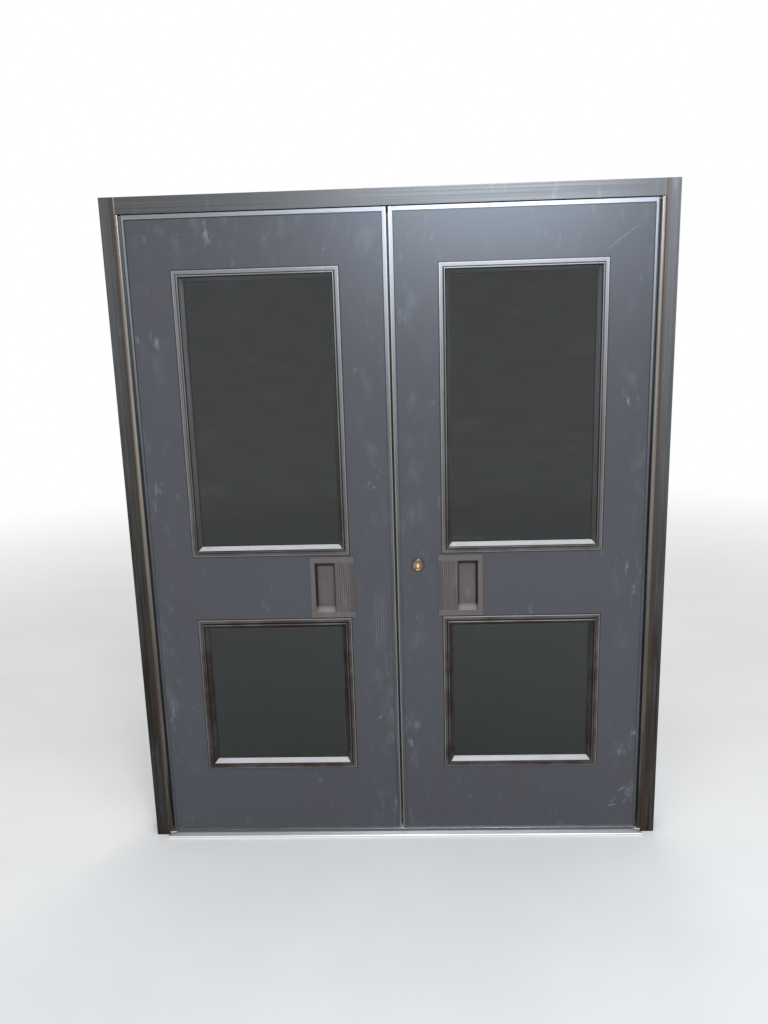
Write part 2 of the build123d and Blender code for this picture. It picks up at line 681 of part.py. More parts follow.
def ring(inset, width, q0, q1, z0, z1):
    """Rectangular ring round a light, between two depths."""
    y0, y1 = LEAF_MID_Y - q1, LEAF_MID_Y - q0
    outer = block(LIGHT_X0 + inset, LIGHT_X1 - inset, y0, y1, z0 + inset, z1 - inset)
    hole = inset + width
    return outer - block(LIGHT_X0 + hole, LIGHT_X1 - hole, y0, y1, z0 + hole, z1 - hole)


def gaskets():
    """Glazing tape between the frames and the glass, outside and inside."""
    inset = SIGHT_INSET - GASKET_W
    outside = [ring(inset, GASKET_W, GLASS_Q, GLASS_Q + GASKET_T, z0, z1) for z0, z1 in LIGHTS]
    return outside + [to_inside(piece) for piece in outside]


def spacers():
    """Bars that hold the two panes of each glass unit apart."""
    inset = SIGHT_INSET - SPACER_SIGHT - SPACER_W
    half = GLASS_GAP / 2
    return [ring(inset, SPACER_W, -half, half, z0, z1) for z0, z1 in LIGHTS]


def glass():
    """Outer and inner pane of each light."""
    half = GLASS_GAP / 2
    panes = []
    for z0, z1 in LIGHTS:
        pane = block(
            LIGHT_X0 + GLASS_INSET, LIGHT_X1 - GLASS_INSET, LEAF_MID_Y - half - GLASS_T,
            LEAF_MID_Y - half, z0 + GLASS_INSET, z1 - GLASS_INSET)
        panes += [pane, to_inside(pane)]
    return panes


# Hardware

def pull():
    """Recessed pull: bars at top and bottom, a ribbed grip, and a pan with a sloped floor."""
    x0, x1, z0, z1 = PULL_X0, PULL_X1, PULL_Z0, PULL_Z1
    front = SHEET_OUT_Y - PULL_T
    plate = block(x0, x1, front, SHEET_OUT_Y, z0, z1)
    inset = PULL_PAN_INSET
    plate += block(
        x0 + inset, x1 - inset, SHEET_OUT_Y, SHEET_OUT_Y + PULL_DEPTH, z0 + inset, z1 - inset)
    inset += PULL_PAN_WALL
    back = SHEET_OUT_Y + PULL_DEPTH - PULL_PAN_WALL
    floor = z0 + inset
    pan = outline([
        (SHEET_OUT_Y, floor), (back, floor + PULL_SLOPE_H), (back, z1 - inset), (SHEET_OUT_Y, z1 - inset)])
    plate -= along_x(pan, x0 + inset, x1 - inset)
    mouth = block(
        x0 + PULL_GRIP_W, x1 - PULL_BORDER, front, SHEET_OUT_Y, z0 + PULL_BOTTOM, z1 - PULL_TOP)
    mouth = fillet(mouth.edges().filter_by(Axis.Y), PULL_CORNER_R)
    plate -= mouth
    for bar_z0, bar_z1 in ((z0, z0 + PULL_BOTTOM), (z1 - PULL_TOP, z1)):
        plate += block(x0, x1, front - PULL_BAR_RISE, front, bar_z0, bar_z1)
    for k in range(RIB_COUNT):
        rib_x = x0 + PULL_GRIP_W - RIB_FROM_GRIP - RIB_PITCH * k
        plate += block(rib_x - RIB_W, rib_x, front - RIB_H, front, z0 + PULL_BOTTOM, z1 - PULL_TOP)
    return plate


def cylinder_collar():
    """Tapered trim ring round the cylinder."""
    ring_solid = Pos(CYLINDER_X, SHEET_OUT_Y, DEVICE_Z) * Rot(90, 0, 0) * Cone(
        COLLAR_R, COLLAR_R - COLLAR_T / 2, COLLAR_T, align=(Align.CENTER, Align.CENTER, Align.MIN))
    return ring_solid - rod_y(
        CYLINDER_X, DEVICE_Z, SHEET_OUT_Y - 2 * COLLAR_T, SHEET_OUT_Y, CYLINDER_R + COLLAR_CLEAR)


def cylinder_body():
    """Housing of the rim cylinder, bored for its core, through to the inner sheet."""
    body = rod_y(CYLINDER_X, DEVICE_Z, SHEET_OUT_Y - CYLINDER_PROUD, SHEET_IN_Y, CYLINDER_R)
    bore_end = SHEET_OUT_Y - CYLINDER_PROUD + CORE_LENGTH
    return body - rod_y(
        CYLINDER_X, DEVICE_Z, SHEET_OUT_Y - CYLINDER_PROUD, bore_end, CORE_R + CORE_CLEAR)


def cylinder_core():
    """Turning core with its keyway."""
    front = SHEET_OUT_Y - CYLINDER_PROUD - CORE_PROUD
    plug = rod_y(CYLINDER_X, DEVICE_Z, front, front + CORE_LENGTH, CORE_R)
    return plug - block(
        CYLINDER_X - KEYWAY_W / 2, CYLINDER_X + KEYWAY_W / 2, front, front + KEYWAY_DEPTH,
        DEVICE_Z - KEYWAY_H / 2, DEVICE_Z + KEYWAY_H / 2)


def exit_case():
    """Latch case: an open-backed cover with a window towards the mullion."""
    y1 = SHEET_IN_Y + CASE_D
    z0, z1 = DEVICE_Z - CASE_H / 2, DEVICE_Z + CASE_H / 2
    shell = block(CASE_X0, CASE_X1, SHEET_IN_Y, y1, z0, z1)
    shell = fillet(shell.edges().filter_by(Axis.Z).sort_by(Axis.Y)[-2:], CASE_FILLET)
    shell -= block(
        CASE_X0 + CASE_WALL, CASE_X1 - CASE_WALL, SHEET_IN_Y, y1 - CASE_WALL,
        z0 + CASE_WALL, z1 - CASE_WALL)
    half = LATCH_H / 2 + LATCH_CLEAR
    return shell - block(
        CASE_X0, CASE_X0 + CASE_WALL, LATCH_Y0 - LATCH_CLEAR, LATCH_Y0 + LATCH_T + LATCH_CLEAR,
        DEVICE_Z - half, DEVICE_Z + half)


def latch():
    """Bevelled latch, held back: square towards the strike, sloped towards the room."""
    tip_x = CASE_X0 - LATCH_PROUD
    section = outline([
        (tip_x, LATCH_Y0), (tip_x + LATCH_LENGTH, LATCH_Y0), (tip_x + LATCH_LENGTH, LATCH_Y0 + LATCH_T),
        (tip_x + LATCH_BEVEL, LATCH_Y0 + LATCH_T), (tip_x, LATCH_Y0 + LATCH_TIP_T)])
    return along_z(section, DEVICE_Z - LATCH_H / 2, DEVICE_Z + LATCH_H / 2)


def exit_rail():
    """Channel across the leaf; past the push bar it is closed by its own cover."""
    z0, z1 = DEVICE_Z - RAIL_H / 2, DEVICE_Z + RAIL_H / 2
    channel = block(CASE_X1, RAIL_X1, SHEET_IN_Y, RAIL_Y1, z0, z1)
    return channel - block(
        CASE_X1, BAR_X1 + BAR_START, SHEET_IN_Y + RAIL_WALL, RAIL_Y1, z0 + RAIL_WALL, z1 - RAIL_WALL)


def exit_end_cap():
    """Rounded cap over the rail's end."""
    z0, z1 = DEVICE_Z - RAIL_H / 2 - END_CAP_OVER, DEVICE_Z + RAIL_H / 2 + END_CAP_OVER
    cap = block(RAIL_X1, RAIL_X1 + END_CAP_W, SHEET_IN_Y, RAIL_Y1 + END_CAP_OVER, z0, z1)
    return fillet(cap.edges().filter_by(Axis.Z).sort_by(Axis.Y)[-1:], CASE_FILLET)


def push_bar():
    """Hollow push bar, pressed in, open towards the leaf."""
    half = RAIL_H / 2 - RAIL_WALL - BAR_CLEAR
    bar = block(BAR_X0, BAR_X1, BAR_Y1 - BAR_D, BAR_Y1, DEVICE_Z - half, DEVICE_Z + half)
    bar = fillet(bar.edges().filter_by(Axis.X).sort_by(Axis.Y)[-2:], BAR_FILLET)
    return bar - block(
        BAR_X0 + BAR_WALL, BAR_X1 - BAR_WALL, BAR_Y1 - BAR_D, BAR_Y1 - BAR_WALL,
        DEVICE_Z - half + BAR_WALL, DEVICE_Z + half - BAR_WALL)


def leaf_nodes(has_cylinder):
    """Every piece of the right-hand leaf; only one leaf of the pair has the cylinder."""
    frames = glazing_frames()
    return {
        "stile_hinge": stile_hinge(),
        "stile_meeting": stile_meeting(),
        "rail_top": rail(LEAF_Z1, -1, TOP_RAIL_H, LIP_W),
        "rail_bottom": rail(LEAF_Z0, 1, BOTTOM_RAIL_H, BOTTOM_LIP_W),
        "sheet_outer": sheet(SHEET_OUT_Y, RELIEF_W + LEAF_WALL, True, has_cylinder),
        "sheet_inner": sheet(TUBE_Y1, EDGE_T, False, has_cylinder),
        "core": core(has_cylinder),
        "door_sweep": door_sweep(),
        "glazing_frames_outer": frames,
        "glazing_frames_inner": [to_inside(bar) for bar in frames],
        "glass": glass(),
        "glass_spacers": spacers(),
        "glazing_gaskets": gaskets(),
        "pull": pull(),
        "hinge_door_leaf": hinge_door_leaf(),
        "exit_case": exit_case(),
        "exit_rail": exit_rail(),
        "exit_end_cap": exit_end_cap(),
        "push_bar": push_bar(),
        "latch": latch(),
    }


def paired_nodes():
    """Right-hand pieces outside the leaf that have a left-hand twin."""
    return {
        "jamb": jamb(),
        "stop": side_stop(),
        "hinge_frame_leaf": hinge_frame_leaf(),
        "hinge_cap": hinge_cap(),
        "hinge_bearings": hinge_bearings(),
    }


def solids_of(piece):
    """The separate solids of a piece or of a list of pieces."""
    group = piece if isinstance(piece, list) else [piece]
    return [solid for part in group for solid in part.solids()]


def all_nodes():
    """Node name to list of solids."""
    pairs = paired_nodes()
    right = {**pairs, **leaf_nodes(True)}
    left = {**pairs, **leaf_nodes(False)}
    nodes = {f"{name}_right": solids_of(piece) for name, piece in right.items()}
    for name, piece in left.items():
        nodes[f"{name}_left"] = [mirrored(solid) for solid in solids_of(piece)]
    bolt_strike = strike()
    nodes["head"] = solids_of(head())
    nodes["stop_head"] = solids_of(head_stop())
    nodes["weatherstrips"] = solids_of(weatherstrips())
    nodes["threshold"] = solids_of(threshold())
    nodes["mullion"] = solids_of(mullion())
    nodes["mullion_fittings"] = solids_of(mullion_fittings())
    nodes["strikes"] = solids_of([bolt_strike, mirrored(bolt_strike)])
    nodes["cylinder_collar"] = solids_of(cylinder_collar())
    nodes["cylinder_body"] = solids_of(cylinder_body())
    nodes["cylinder_core"] = solids_of(cylinder_core())
    return nodes


os.makedirs("parts", exist_ok=True)
for node_name, node_solids in all_nodes().items():
    shape = node_solids[0] if len(node_solids) == 1 else Compound(children=node_solids)
    export_step(shape, f"parts/{node_name}.step")
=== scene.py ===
"""Looks of a pair of glazed entrance door leaves in their frame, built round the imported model.

Metres, in the model's frame: +X to the right as seen from outside, +Y into the building, +Z up.
"""

import logging
import math
from dataclasses import dataclass
from enum import Enum
from functools import cached_property
from typing import Iterable, Mapping, Sequence

import bmesh
import bpy
from mathutils import Matrix, Vector


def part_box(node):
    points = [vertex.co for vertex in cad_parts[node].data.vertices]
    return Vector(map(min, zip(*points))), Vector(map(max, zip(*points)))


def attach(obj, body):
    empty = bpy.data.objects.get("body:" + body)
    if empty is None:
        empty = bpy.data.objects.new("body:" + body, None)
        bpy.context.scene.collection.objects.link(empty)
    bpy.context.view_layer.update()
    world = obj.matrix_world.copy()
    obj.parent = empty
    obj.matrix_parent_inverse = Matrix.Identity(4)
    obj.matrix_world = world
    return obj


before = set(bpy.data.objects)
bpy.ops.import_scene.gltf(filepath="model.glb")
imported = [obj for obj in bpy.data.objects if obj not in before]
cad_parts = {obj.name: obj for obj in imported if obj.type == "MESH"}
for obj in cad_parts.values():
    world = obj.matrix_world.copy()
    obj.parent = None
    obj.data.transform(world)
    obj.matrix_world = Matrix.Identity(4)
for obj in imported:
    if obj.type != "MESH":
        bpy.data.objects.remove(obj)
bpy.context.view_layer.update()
LOG = logging.getLogger("entrance_door")
MM = 0.001
INWARD = Vector((0, 1, 0))
UPWARD = Vector((0, 0, 1))

Socket = bpy.types.NodeSocket
Span = tuple[float, float]

# The lock rail's lower and upper edge part the two lights of a leaf
LOCK_RAIL_Z: Span = (0.811, 1.035)
GLAZING_LOW, GLAZING_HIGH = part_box("glazing_frames_outer_right")
LIGHT_X: Span = (GLAZING_LOW.x, GLAZING_HIGH.x)
LIGHT_Z: tuple[Span, Span] = ((GLAZING_LOW.z, LOCK_RAIL_Z[0]), (LOCK_RAIL_Z[1], GLAZING_HIGH.z))


class Side(Enum):
    """A leaf of the pair, with the sign of its X."""

    LEFT = -1
    RIGHT = 1

    @property
    def tag(self) -> str:
        """Ending of the side's node and body names."""
        return self.name.lower()


class Along(Enum):
    """Direction in which an extrusion was drawn, with its place in a vector."""

    X = 0
    Y = 1
    Z = 2


class Drive(Enum):
    """Recess in a screw's head."""

    CROSS = "cross"
    HEX = "hex"


class Join(Enum):
    """How masks are joined: where all hold, where any holds, or by the least of them."""

    ALL = "MULTIPLY"
    ANY = "MAXIMUM"
    LEAST = "MINIMUM"


def linear(hex_code: str) -> tuple[float, float, float, float]:
    """Turn an sRGB hex colour to the linear values that a shader takes.

    Args:
        hex_code: colour as "#RRGGBB".

    Returns:
        Red, green, blue and an alpha of 1.
    """
    values = [int(hex_code[k:k + 2], 16) / 255 for k in (1, 3, 5)]
    red, green, blue = [v / 12.92 if v <= 0.04045 else ((v + 0.055) / 1.055) ** 2.4
                        for v in values]
    return red, green, blue, 1.0


@dataclass(frozen=True)
class Blots:
    """Cloudy pattern: a blot's length along each axis, and its cut with the cover at its ends."""

    size_mm: tuple[float, float, float]
    seed: float
    detail: float
    cut: Span
    cover: Span = (0.0, 1.0)


class Canvas:
    """A node tree that is being filled."""

    def __init__(self, tree: bpy.types.NodeTree) -> None:
        """Start on a tree."""
        self.tree = tree

    def connect(self, node: bpy.types.Node, sockets: Mapping[int | str, object]) -> None:
        """Set a node's inputs.

        Args:
            node: the node.
            sockets: input to a value, or to the output socket that feeds it.
        """
        for key, value in sockets.items():
            if isinstance(value, Socket):
                self.tree.links.new(value, node.inputs[key])
            else:
                node.inputs[key].default_value = value

    def add_node(self, kind: str, settings: Mapping[str, object] | None = None,
                 sockets: Mapping[int | str, object] | None = None) -> bpy.types.Node:
        """Add a node with its settings and links.

        Args:
            kind: Blender's name for the node type.
            settings: attribute to value.
            sockets: input to a value, or to the output socket that feeds it.

        Returns:
            The new node.
        """
        node = self.tree.nodes.new(kind)
        for name, value in (settings or {}).items():
            setattr(node, name, value)
        self.connect(node, sockets or {})
        return node

    def join(self, how: Join, first: Socket, *others: Socket | float) -> Socket:
        """Join masks into one.

        Args:
            how: by their product, the greatest or the least.
            first: a mask.
            others: the rest of them.

        Returns:
            The joined mask.
        """
        for other in others:
            first = self.add_node("ShaderNodeMath", {"operation": how.value},
                                  {0: first, 1: other}).outputs[0]
        return first

    def fade(self, value: Socket, source: Span, target: Span = (0.0, 1.0),
             *within: Socket) -> Socket:
        """Take a value smoothly from one span to another, and keep it inside the second.

        Args:
            value: what is taken over.
            source: its lower and upper end.
            target: what they become.
            within: masks that hold the result back.

        Returns:
            The new value.
        """
        ramp = self.add_node("ShaderNodeMapRange", {"interpolation_type": "SMOOTHSTEP"},
                             dict(enumerate((value, *source, *target))))
        return self.join(Join.ALL, ramp.outputs[0], *within)

    def seen_directly(self) -> Socket:
        """Mask that is 1 for what the camera, metal and glass show, and 0 for soft light."""
        path = self.add_node("ShaderNodeLightPath")
        return self.join(Join.ANY, *(path.outputs[ray] for ray in (
            "Is Camera Ray", "Is Glossy Ray", "Is Transmission Ray")))


class Surface(Canvas):
    """A new material's node tree, with where each point lies in the model's frame."""

    # Painted highlight, for light from above, on faces between these upward parts of their normal
    LOOKS_UP: Span = (0.45, 0.8)
    PATCHY = Blots((60, 60, 60), 6.1, 3, (0.3, 0.6), (0.88, 1.0))

    def __init__(self, name: str) -> None:
        """Make the material."""
        self.material = bpy.data.materials.new(name)
        self.material.use_nodes = True
        super().__init__(self.material.node_tree)
        self.shader = self.tree.nodes["Principled BSDF"]

    @cached_property
    def place(self) -> Socket:
        """Position in the model's frame, in metres."""
        return self.add_node("ShaderNodeTexCoord").outputs["Object"]

    @cached_property
    def axes(self) -> list[Socket]:
        """That position along X, Y and Z."""
        return list(self.add_node("ShaderNodeSeparateXYZ", sockets={0: self.place}).outputs)

    @cached_property
    def across(self) -> Socket:
        """Distance from the middle of the frame, alike on both leaves."""
        return self.off_from(self.axes[0], 0.0)

    def off_from(self, value: Socket, middle: float) -> Socket:
        """How far a value is from a middle one, either way."""
        off = self.add_node("ShaderNodeMath", {"operation": "SUBTRACT"}, {0: value, 1: middle})
        return self.add_node("ShaderNodeMath", {"operation": "ABSOLUTE"},
                             {0: off.outputs[0]}).outputs[0]

    def past_span(self, value: Socket, span: Span) -> Socket:
        """How far a value lies past the ends of a span, negative inside it."""
        off = self.off_from(value, (span[0] + span[1]) / 2)
        return self.add_node("ShaderNodeMath", {"operation": "SUBTRACT"},
                             {0: off, 1: (span[1] - span[0]) / 2}).outputs[0]

    def past_edges(self, span_x: Span, span_z: Span) -> Socket:
        """How far a place lies past the edges of a rectangle on each leaf, negative inside it."""
        return self.join(Join.ANY, self.past_span(self.across, span_x),
                         self.past_span(self.axes[2], span_z))

    @cached_property
    def past_light(self) -> tuple[Socket, Socket]:
        """Distance past the sides, and past the top or bottom, of the nearer light."""
        rows = [self.past_span(self.axes[2], span_z) for span_z in LIGHT_Z]
        return self.past_span(self.across, LIGHT_X), self.join(Join.LEAST, *rows)

    def noise(self, size_mm: Sequence[float], seed: float, detail: float) -> Socket:
        """Cloudy pattern whose blots have their own length along X, Y and Z.

        Args:
            size_mm: length of a blot along each axis.
            seed: offset that sets this pattern apart from the others.
            detail: octaves of finer blots.

        Returns:
            A value from 0 to 1, mostly near 0.5.
        """
        mapping = self.add_node("ShaderNodeMapping", sockets={
            "Vector": self.place, "Location": (seed, 1.7 * seed, 2.3 * seed),
            "Scale": tuple(1 / (size * MM) for size in size_mm)})
        return self.add_node("ShaderNodeTexNoise", sockets={
            "Vector": mapping.outputs[0], "Scale": 1.0, "Detail": detail,
            "Roughness": 0.6}).outputs[0]

    def blots(self, pattern: Blots) -> Socket:
        """The mask of a cloudy pattern."""
        return self.fade(self.noise(pattern.size_mm, pattern.seed, pattern.detail),
                         pattern.cut, pattern.cover)

    def drawn_lines(self, line_mm: float, run_mm: float, along: Along, seed: float) -> Socket:
        """Long thin streaks along a piece.

        Args:
            line_mm: their width.
            run_mm: their length.
            along: the way they run.
            seed: offset that sets them apart from others.

        Returns:
            A value from 0 to 1.
        """
        size = [line_mm] * 3
        size[along.value] = run_mm
        return self.noise(size, seed, detail=3)

    def lay(self, base: str | Socket, over: str, *masks: Socket) -> Socket:
        """Lay one colour over another where all the masks hold.

        Args:
            base: hex colour or socket underneath.
            over: hex colour on top.
            masks: values from 0 to 1.

        Returns:
            The mixed colour.
        """
        under = linear(base) if isinstance(base, str) else base
        return self.add_node("ShaderNodeMix", {"data_type": "RGBA"}, {
            0: self.join(Join.ALL, *masks), 6: under, 7: linear(over)}).outputs[2]

    def relief(self, height: Socket, depth_mm: float, arris_mm: float) -> Socket:
        """Surface normal with fine relief, and with edges broken to a small radius.

        Args:
            height: relief from 0 to 1.
            depth_mm: height of that relief.
            arris_mm: radius of the broken edges.

        Returns:
            The normal.
        """
        arris = self.add_node("ShaderNodeBevel", {"samples": 4}, {"Radius": arris_mm * MM})
        return self.add_node("ShaderNodeBump", sockets={
            "Strength": 1.0, "Distance": depth_mm * MM, "Height": height,
            "Normal": arris.outputs[0]}).outputs[0]

    def settled_dust(self, amount: float) -> Socket:
        """Mask of a painted highlight, up to an amount where the surface looks straight up."""
        facing = self.add_node("ShaderNodeNewGeometry").outputs["True Normal"]
        upward = self.add_node("ShaderNodeSeparateXYZ", sockets={0: facing}).outputs[2]
        return self.fade(upward, self.LOOKS_UP, (0.0, amount), self.blots(self.PATCHY))


@dataclass(frozen=True)
class Finish:
    """What every finish shares: its name and how it is put on."""

    name: str

    def paint(self, surface: Surface) -> None:
        """Build the material's nodes on its new surface."""
        raise NotImplementedError

    def finer(self, surface: Surface, colour: Socket) -> Socket:
        """The colour with what one piece alone shows; plain pieces show no more."""
        return colour

    def material(self) -> bpy.types.Material:
        """The finished material, built on first use."""
        if self.name not in bpy.data.materials:
            self.paint(Surface(self.name))
        return bpy.data.materials[self.name]

    def on(self, *nodes: str) -> None:
        """Put the finish on CAD nodes."""
        for node in nodes:
            self.on_piece(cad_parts[node])

    def on_piece(self, piece: bpy.types.Object) -> None:
        """Put the finish on a piece."""
        piece.data.materials.clear()
        piece.data.materials.append(self.material())


@dataclass(frozen=True)
class Scratch:
    """A straight bright mark on a leaf's face, from one point to another as (x, z)."""

    start: Span
    end: Span
    width_mm: float
    strength: float

    def mask(self, surface: Surface) -> Socket:
        """Nearness to the line between the ends, as strong as the scratch.

        Args:
            surface: the material that is being made.

        Returns:
            The mask.
        """
        (x0, z0), (x1, z1) = self.start, self.end
        length = math.hypot(x1 - x0, z1 - z0)
        along = Vector(((x1 - x0) / length, 0, (z1 - z0) / length))
        from_middle = surface.add_node("ShaderNodeVectorMath", {"operation": "SUBTRACT"}, {
            0: surface.place, 1: Vector(((x0 + x1) / 2, 0, (z0 + z1) / 2))}).outputs[0]
        run, off = [surface.off_from(surface.add_node(
            "ShaderNodeVectorMath", {"operation": "DOT_PRODUCT"},
            {0: from_middle, 1: axis}).outputs["Value"], 0.0)
            for axis in (along, Vector((-along.z, 0, along.x)))]
        ends = surface.fade(run, (0.4 * length, 0.5 * length), (self.strength, 0.0))
        return surface.fade(off, (0.0, self.width_mm * MM), (1.0, 0.0), ends)


@dataclass(frozen=True)
class Rubbing:
    """Fine upright lines side by side in a patch, as (x, z) of two of its corners."""

    low: Span
    high: Span
    pitch_mm: float
    strength: float
    edge: float = 0.002
    end_share: float = 0.3

    def mask(self, surface: Surface) -> Socket:
        """The lines, fading towards their ends, as strong as the rubbing.

        Args:
            surface: the material that is being made.

        Returns:
            The mask.
        """
        (x0, z0), (x1, z1) = self.low, self.high
        turns = 2 * math.pi / (self.pitch_mm * MM)
        wave = surface.add_node("ShaderNodeMath", {"operation": "MULTIPLY_ADD"},
                                {0: surface.axes[0], 1: turns, 2: -turns * x0})
        wave = surface.add_node("ShaderNodeMath", {"operation": "COSINE"}, {0: wave.outputs[0]})
        masks = [surface.fade(wave.outputs[0], (0.55, 1.0), (0.0, self.strength))]
        for axis, low, high, soft in ((Along.X, x0, x1, self.edge),
                                      (Along.Z, z0, z1, self.end_share * (z1 - z0))):
            half = (high - low) / 2
            off = surface.off_from(surface.axes[axis.value], (low + high) / 2)
            masks.append(surface.fade(off, (half - soft, half + self.edge), (1.0, 0.0)))
        return surface.join(Join.ALL, *masks)


# Satin polyester paint, sprayed on steel sheet: even and slightly blue, with a soft broad sheen;
# hands and weather leave pale chalky smudges, most of all near the leaf's edges
@dataclass(frozen=True)
class SatinPaint(Finish):
    """Sprayed satin paint, with its chalk, hand marks and scratches."""

    colour: str = "#403F44"
    chalk: str = "#83888E"
    warm: str = "#403D40"
    sheen_tint: str = "#EDF9FF"
    roughness: float = 0.33
    chalk_roughness: float = 0.25
    smudge: float = 1.0
    field_x: Span = (0.016, 0.8172)
    field_z: Span = (0.025, 2.1179)
    meeting_reach: Span = (0.02, 0.16)
    hinge_reach: float = 0.15
    top_reach: float = 0.22
    joint_mm: float = 4.4
    joint_z: Span = (0.9, 2.0)
    joint_least: float = 0.35
    joint_inside: Span = (-0.02, -0.01)
    joint: str = "#101114"
    on_sheet: bool = True
    clouds: Blots = Blots((420, 420, 520), 1.3, 3, (0.35, 0.7), (0.0, 0.5))
    wiped: Blots = Blots((55, 55, 110), 5.2, 5, (0.5, 0.85), (0.0, 0.3))
    dabs: Blots = Blots((26, 26, 60), 3.1, 5, (0.57, 0.8))
    dab_groups: Blots = Blots((160, 160, 240), 8.4, 2, (0.46, 0.62), (0.0, 0.9))
    broken: Blots = Blots((7, 7, 7), 2.9, 2, (0.36, 0.58), (0.3, 1.0))
    # Spray leaves a fine orange peel about 2 mm across, drawn here as 4 mm so that it shows
    peel_mm: tuple[float, float, float] = (4, 4, 4)
    marks: tuple[Scratch | Rubbing, ...] = ()

    def near_edges(self, surface: Surface) -> Socket:
        """Mask that is 1 along the meeting edge, the hinge edge and the top, and falls inwards.

        Args:
            surface: the material that is being made.

        Returns:
            The mask.
        """
        hinge, top = self.field_x[1], self.field_z[1]
        return surface.join(
            Join.ANY, surface.fade(surface.across, self.meeting_reach, (1.0, 0.0)),
            surface.fade(surface.across, (hinge - self.hinge_reach, hinge), (0.0, 0.9)),
            surface.fade(surface.axes[2], (top - self.top_reach, top)))

    def joint_dirt(self, surface: Surface) -> Socket:
        """Dark line that gathers where the sheet meets the lips round it and the glazing frames.

        Args:
            surface: the material that is being made.

        Returns:
            The mask.
        """
        near, far = 0.5 * self.joint_mm * MM, self.joint_mm * MM
        by_height = surface.fade(surface.axes[2], self.joint_z, (self.joint_least, 1.0))
        past = surface.past_edges(self.field_x, self.field_z)
        masks = [surface.fade(past, (-far, -near), (0.0, 1.0), by_height)]
        for span_z in LIGHT_Z:
            past = surface.past_edges(LIGHT_X, span_z)
            masks.append(surface.fade(past, (near, far), (1.0, 0.0),
                                      surface.fade(past, self.joint_inside)))
        return surface.join(Join.ANY, *masks)

    def chalked(self, surface: Surface) -> Socket:
        """Mask of the haze near the edges, the hand marks in groups, and the single marks.

        Args:
            surface: the material that is being made.

        Returns:
            The mask.
        """
        edges = self.near_edges(surface)
        haze = surface.join(Join.ALL, surface.blots(self.wiped), edges)
        dabs = surface.fade(edges, (0.0, 1.0), (0.35, 1.0),
                            surface.blots(self.dabs), surface.blots(self.dab_groups))
        masks = [haze, dabs]
        if self.marks:
            marks = surface.join(Join.ANY, *(mark.mask(surface) for mark in self.marks))
            masks.append(surface.join(Join.ALL, marks, surface.blots(self.broken)))
        return surface.join(Join.ALL, surface.join(Join.ANY, *masks), self.smudge)

    def paint(self, surface: Surface) -> None:
        """Build the material's nodes on its new surface.

        Args:
            surface: the material that is being made.
        """
        chalked = self.chalked(surface)
        colour = surface.lay(self.colour, self.warm, surface.blots(self.clouds))
        colour = surface.lay(colour, self.chalk, chalked)
        if self.on_sheet:
            colour = surface.lay(colour, self.joint, self.joint_dirt(surface))
        surface.connect(surface.shader, {
            "Base Color": colour,
            "Roughness": surface.fade(chalked, (0.0, 1.0), (
                self.roughness, self.roughness + self.chalk_roughness)),
            "Specular Tint": linear(self.sheen_tint),
            "Normal": surface.relief(surface.noise(self.peel_mm, seed=0.7, detail=2),
                                     depth_mm=0.02, arris_mm=0.5)})


# Extruded aluminium, etched and dark bronze anodised: the colour lies inside the clear oxide, so it
# stays a metal with a deep brown-grey tint; die lines run along the bar and weather chalks them
@dataclass(frozen=True)
class BronzeAnodised(Finish):
    """Dark bronze anodised extrusion, with die lines along its length."""

    along: Along = Along.Z
    colour: str = "#4F5050"
    light: str = "#6A6D6D"
    dark: str = "#3A3938"
    metallic: float = 0.75
    roughness: float = 0.38
    line_mm: float = 3.0
    run_mm: float = 900.0
    streaks: float = 0.7
    light_cut: Span = (0.5, 0.8)
    dark_cut: Span = (0.22, 0.5)
    chalk: str = "#9AA09F"
    weather: Blots = Blots((35, 35, 120), 6.5, 5, (0.55, 0.85), (0.0, 0.25))
    # Darker towards the bottom: partly dirt, partly painted shade for a better lit top
    grime_and_shade: str = "#29221B"
    grime_and_shade_z: Span = (0.0, 1.5)
    grime_and_shade_least: float = 0.35
    # The pale colour on faces that look up is a painted highlight for light from above
    dust: str = "#A8AAAB"
    top_highlight_amount: float = 0.45
    run_off_mm: tuple[float, float, float] = (9.0, 9.0, 240.0)
    run_off_cut: Span = (0.3, 0.65)

    def lines(self, surface: Surface) -> Socket:
        """The streaks that this bar shows."""
        return surface.drawn_lines(self.line_mm, self.run_mm, self.along, seed=2.6)

    def top_highlight_mask(self, surface: Surface) -> Socket:
        """Painted highlight on what looks up."""
        return surface.settled_dust(self.top_highlight_amount)

    def paint(self, surface: Surface) -> None:
        """Build the material's nodes on its new surface.

        Args:
            surface: the material that is being made.
        """
        lines = self.lines(surface)
        colour = surface.lay(self.colour, self.light,
                             surface.fade(lines, self.light_cut, (0.0, self.streaks)))
        colour = surface.lay(colour, self.dark,
                             surface.fade(lines, self.dark_cut, (self.streaks, 0.0)))
        colour = surface.lay(colour, self.chalk, surface.blots(self.weather))
        # Darker low down in streaks: partly dirt, partly painted shade for a better lit top
        run_off = surface.fade(surface.noise(self.run_off_mm, seed=1.2, detail=4),
                               self.run_off_cut, (self.grime_and_shade_least, 1.0))
        colour = surface.lay(colour, self.grime_and_shade,
                             surface.fade(surface.axes[2], self.grime_and_shade_z, (1.0, 0.0)), run_off)
        colour = self.finer(surface, colour)
        # Painted highlight on faces that look up
        dust = self.top_highlight_mask(surface)
        surface.connect(surface.shader, {
            "Base Color": surface.lay(colour, self.dust, dust),
            "Metallic": surface.fade(dust, (0.0, 1.0), (self.metallic, 0.0)),
            "Roughness": surface.fade(lines, (0.3, 0.7), (
                self.roughness - 0.06, self.roughness + 0.08)),
            "Normal": surface.relief(lines, depth_mm=0.03, arris_mm=0.6)})


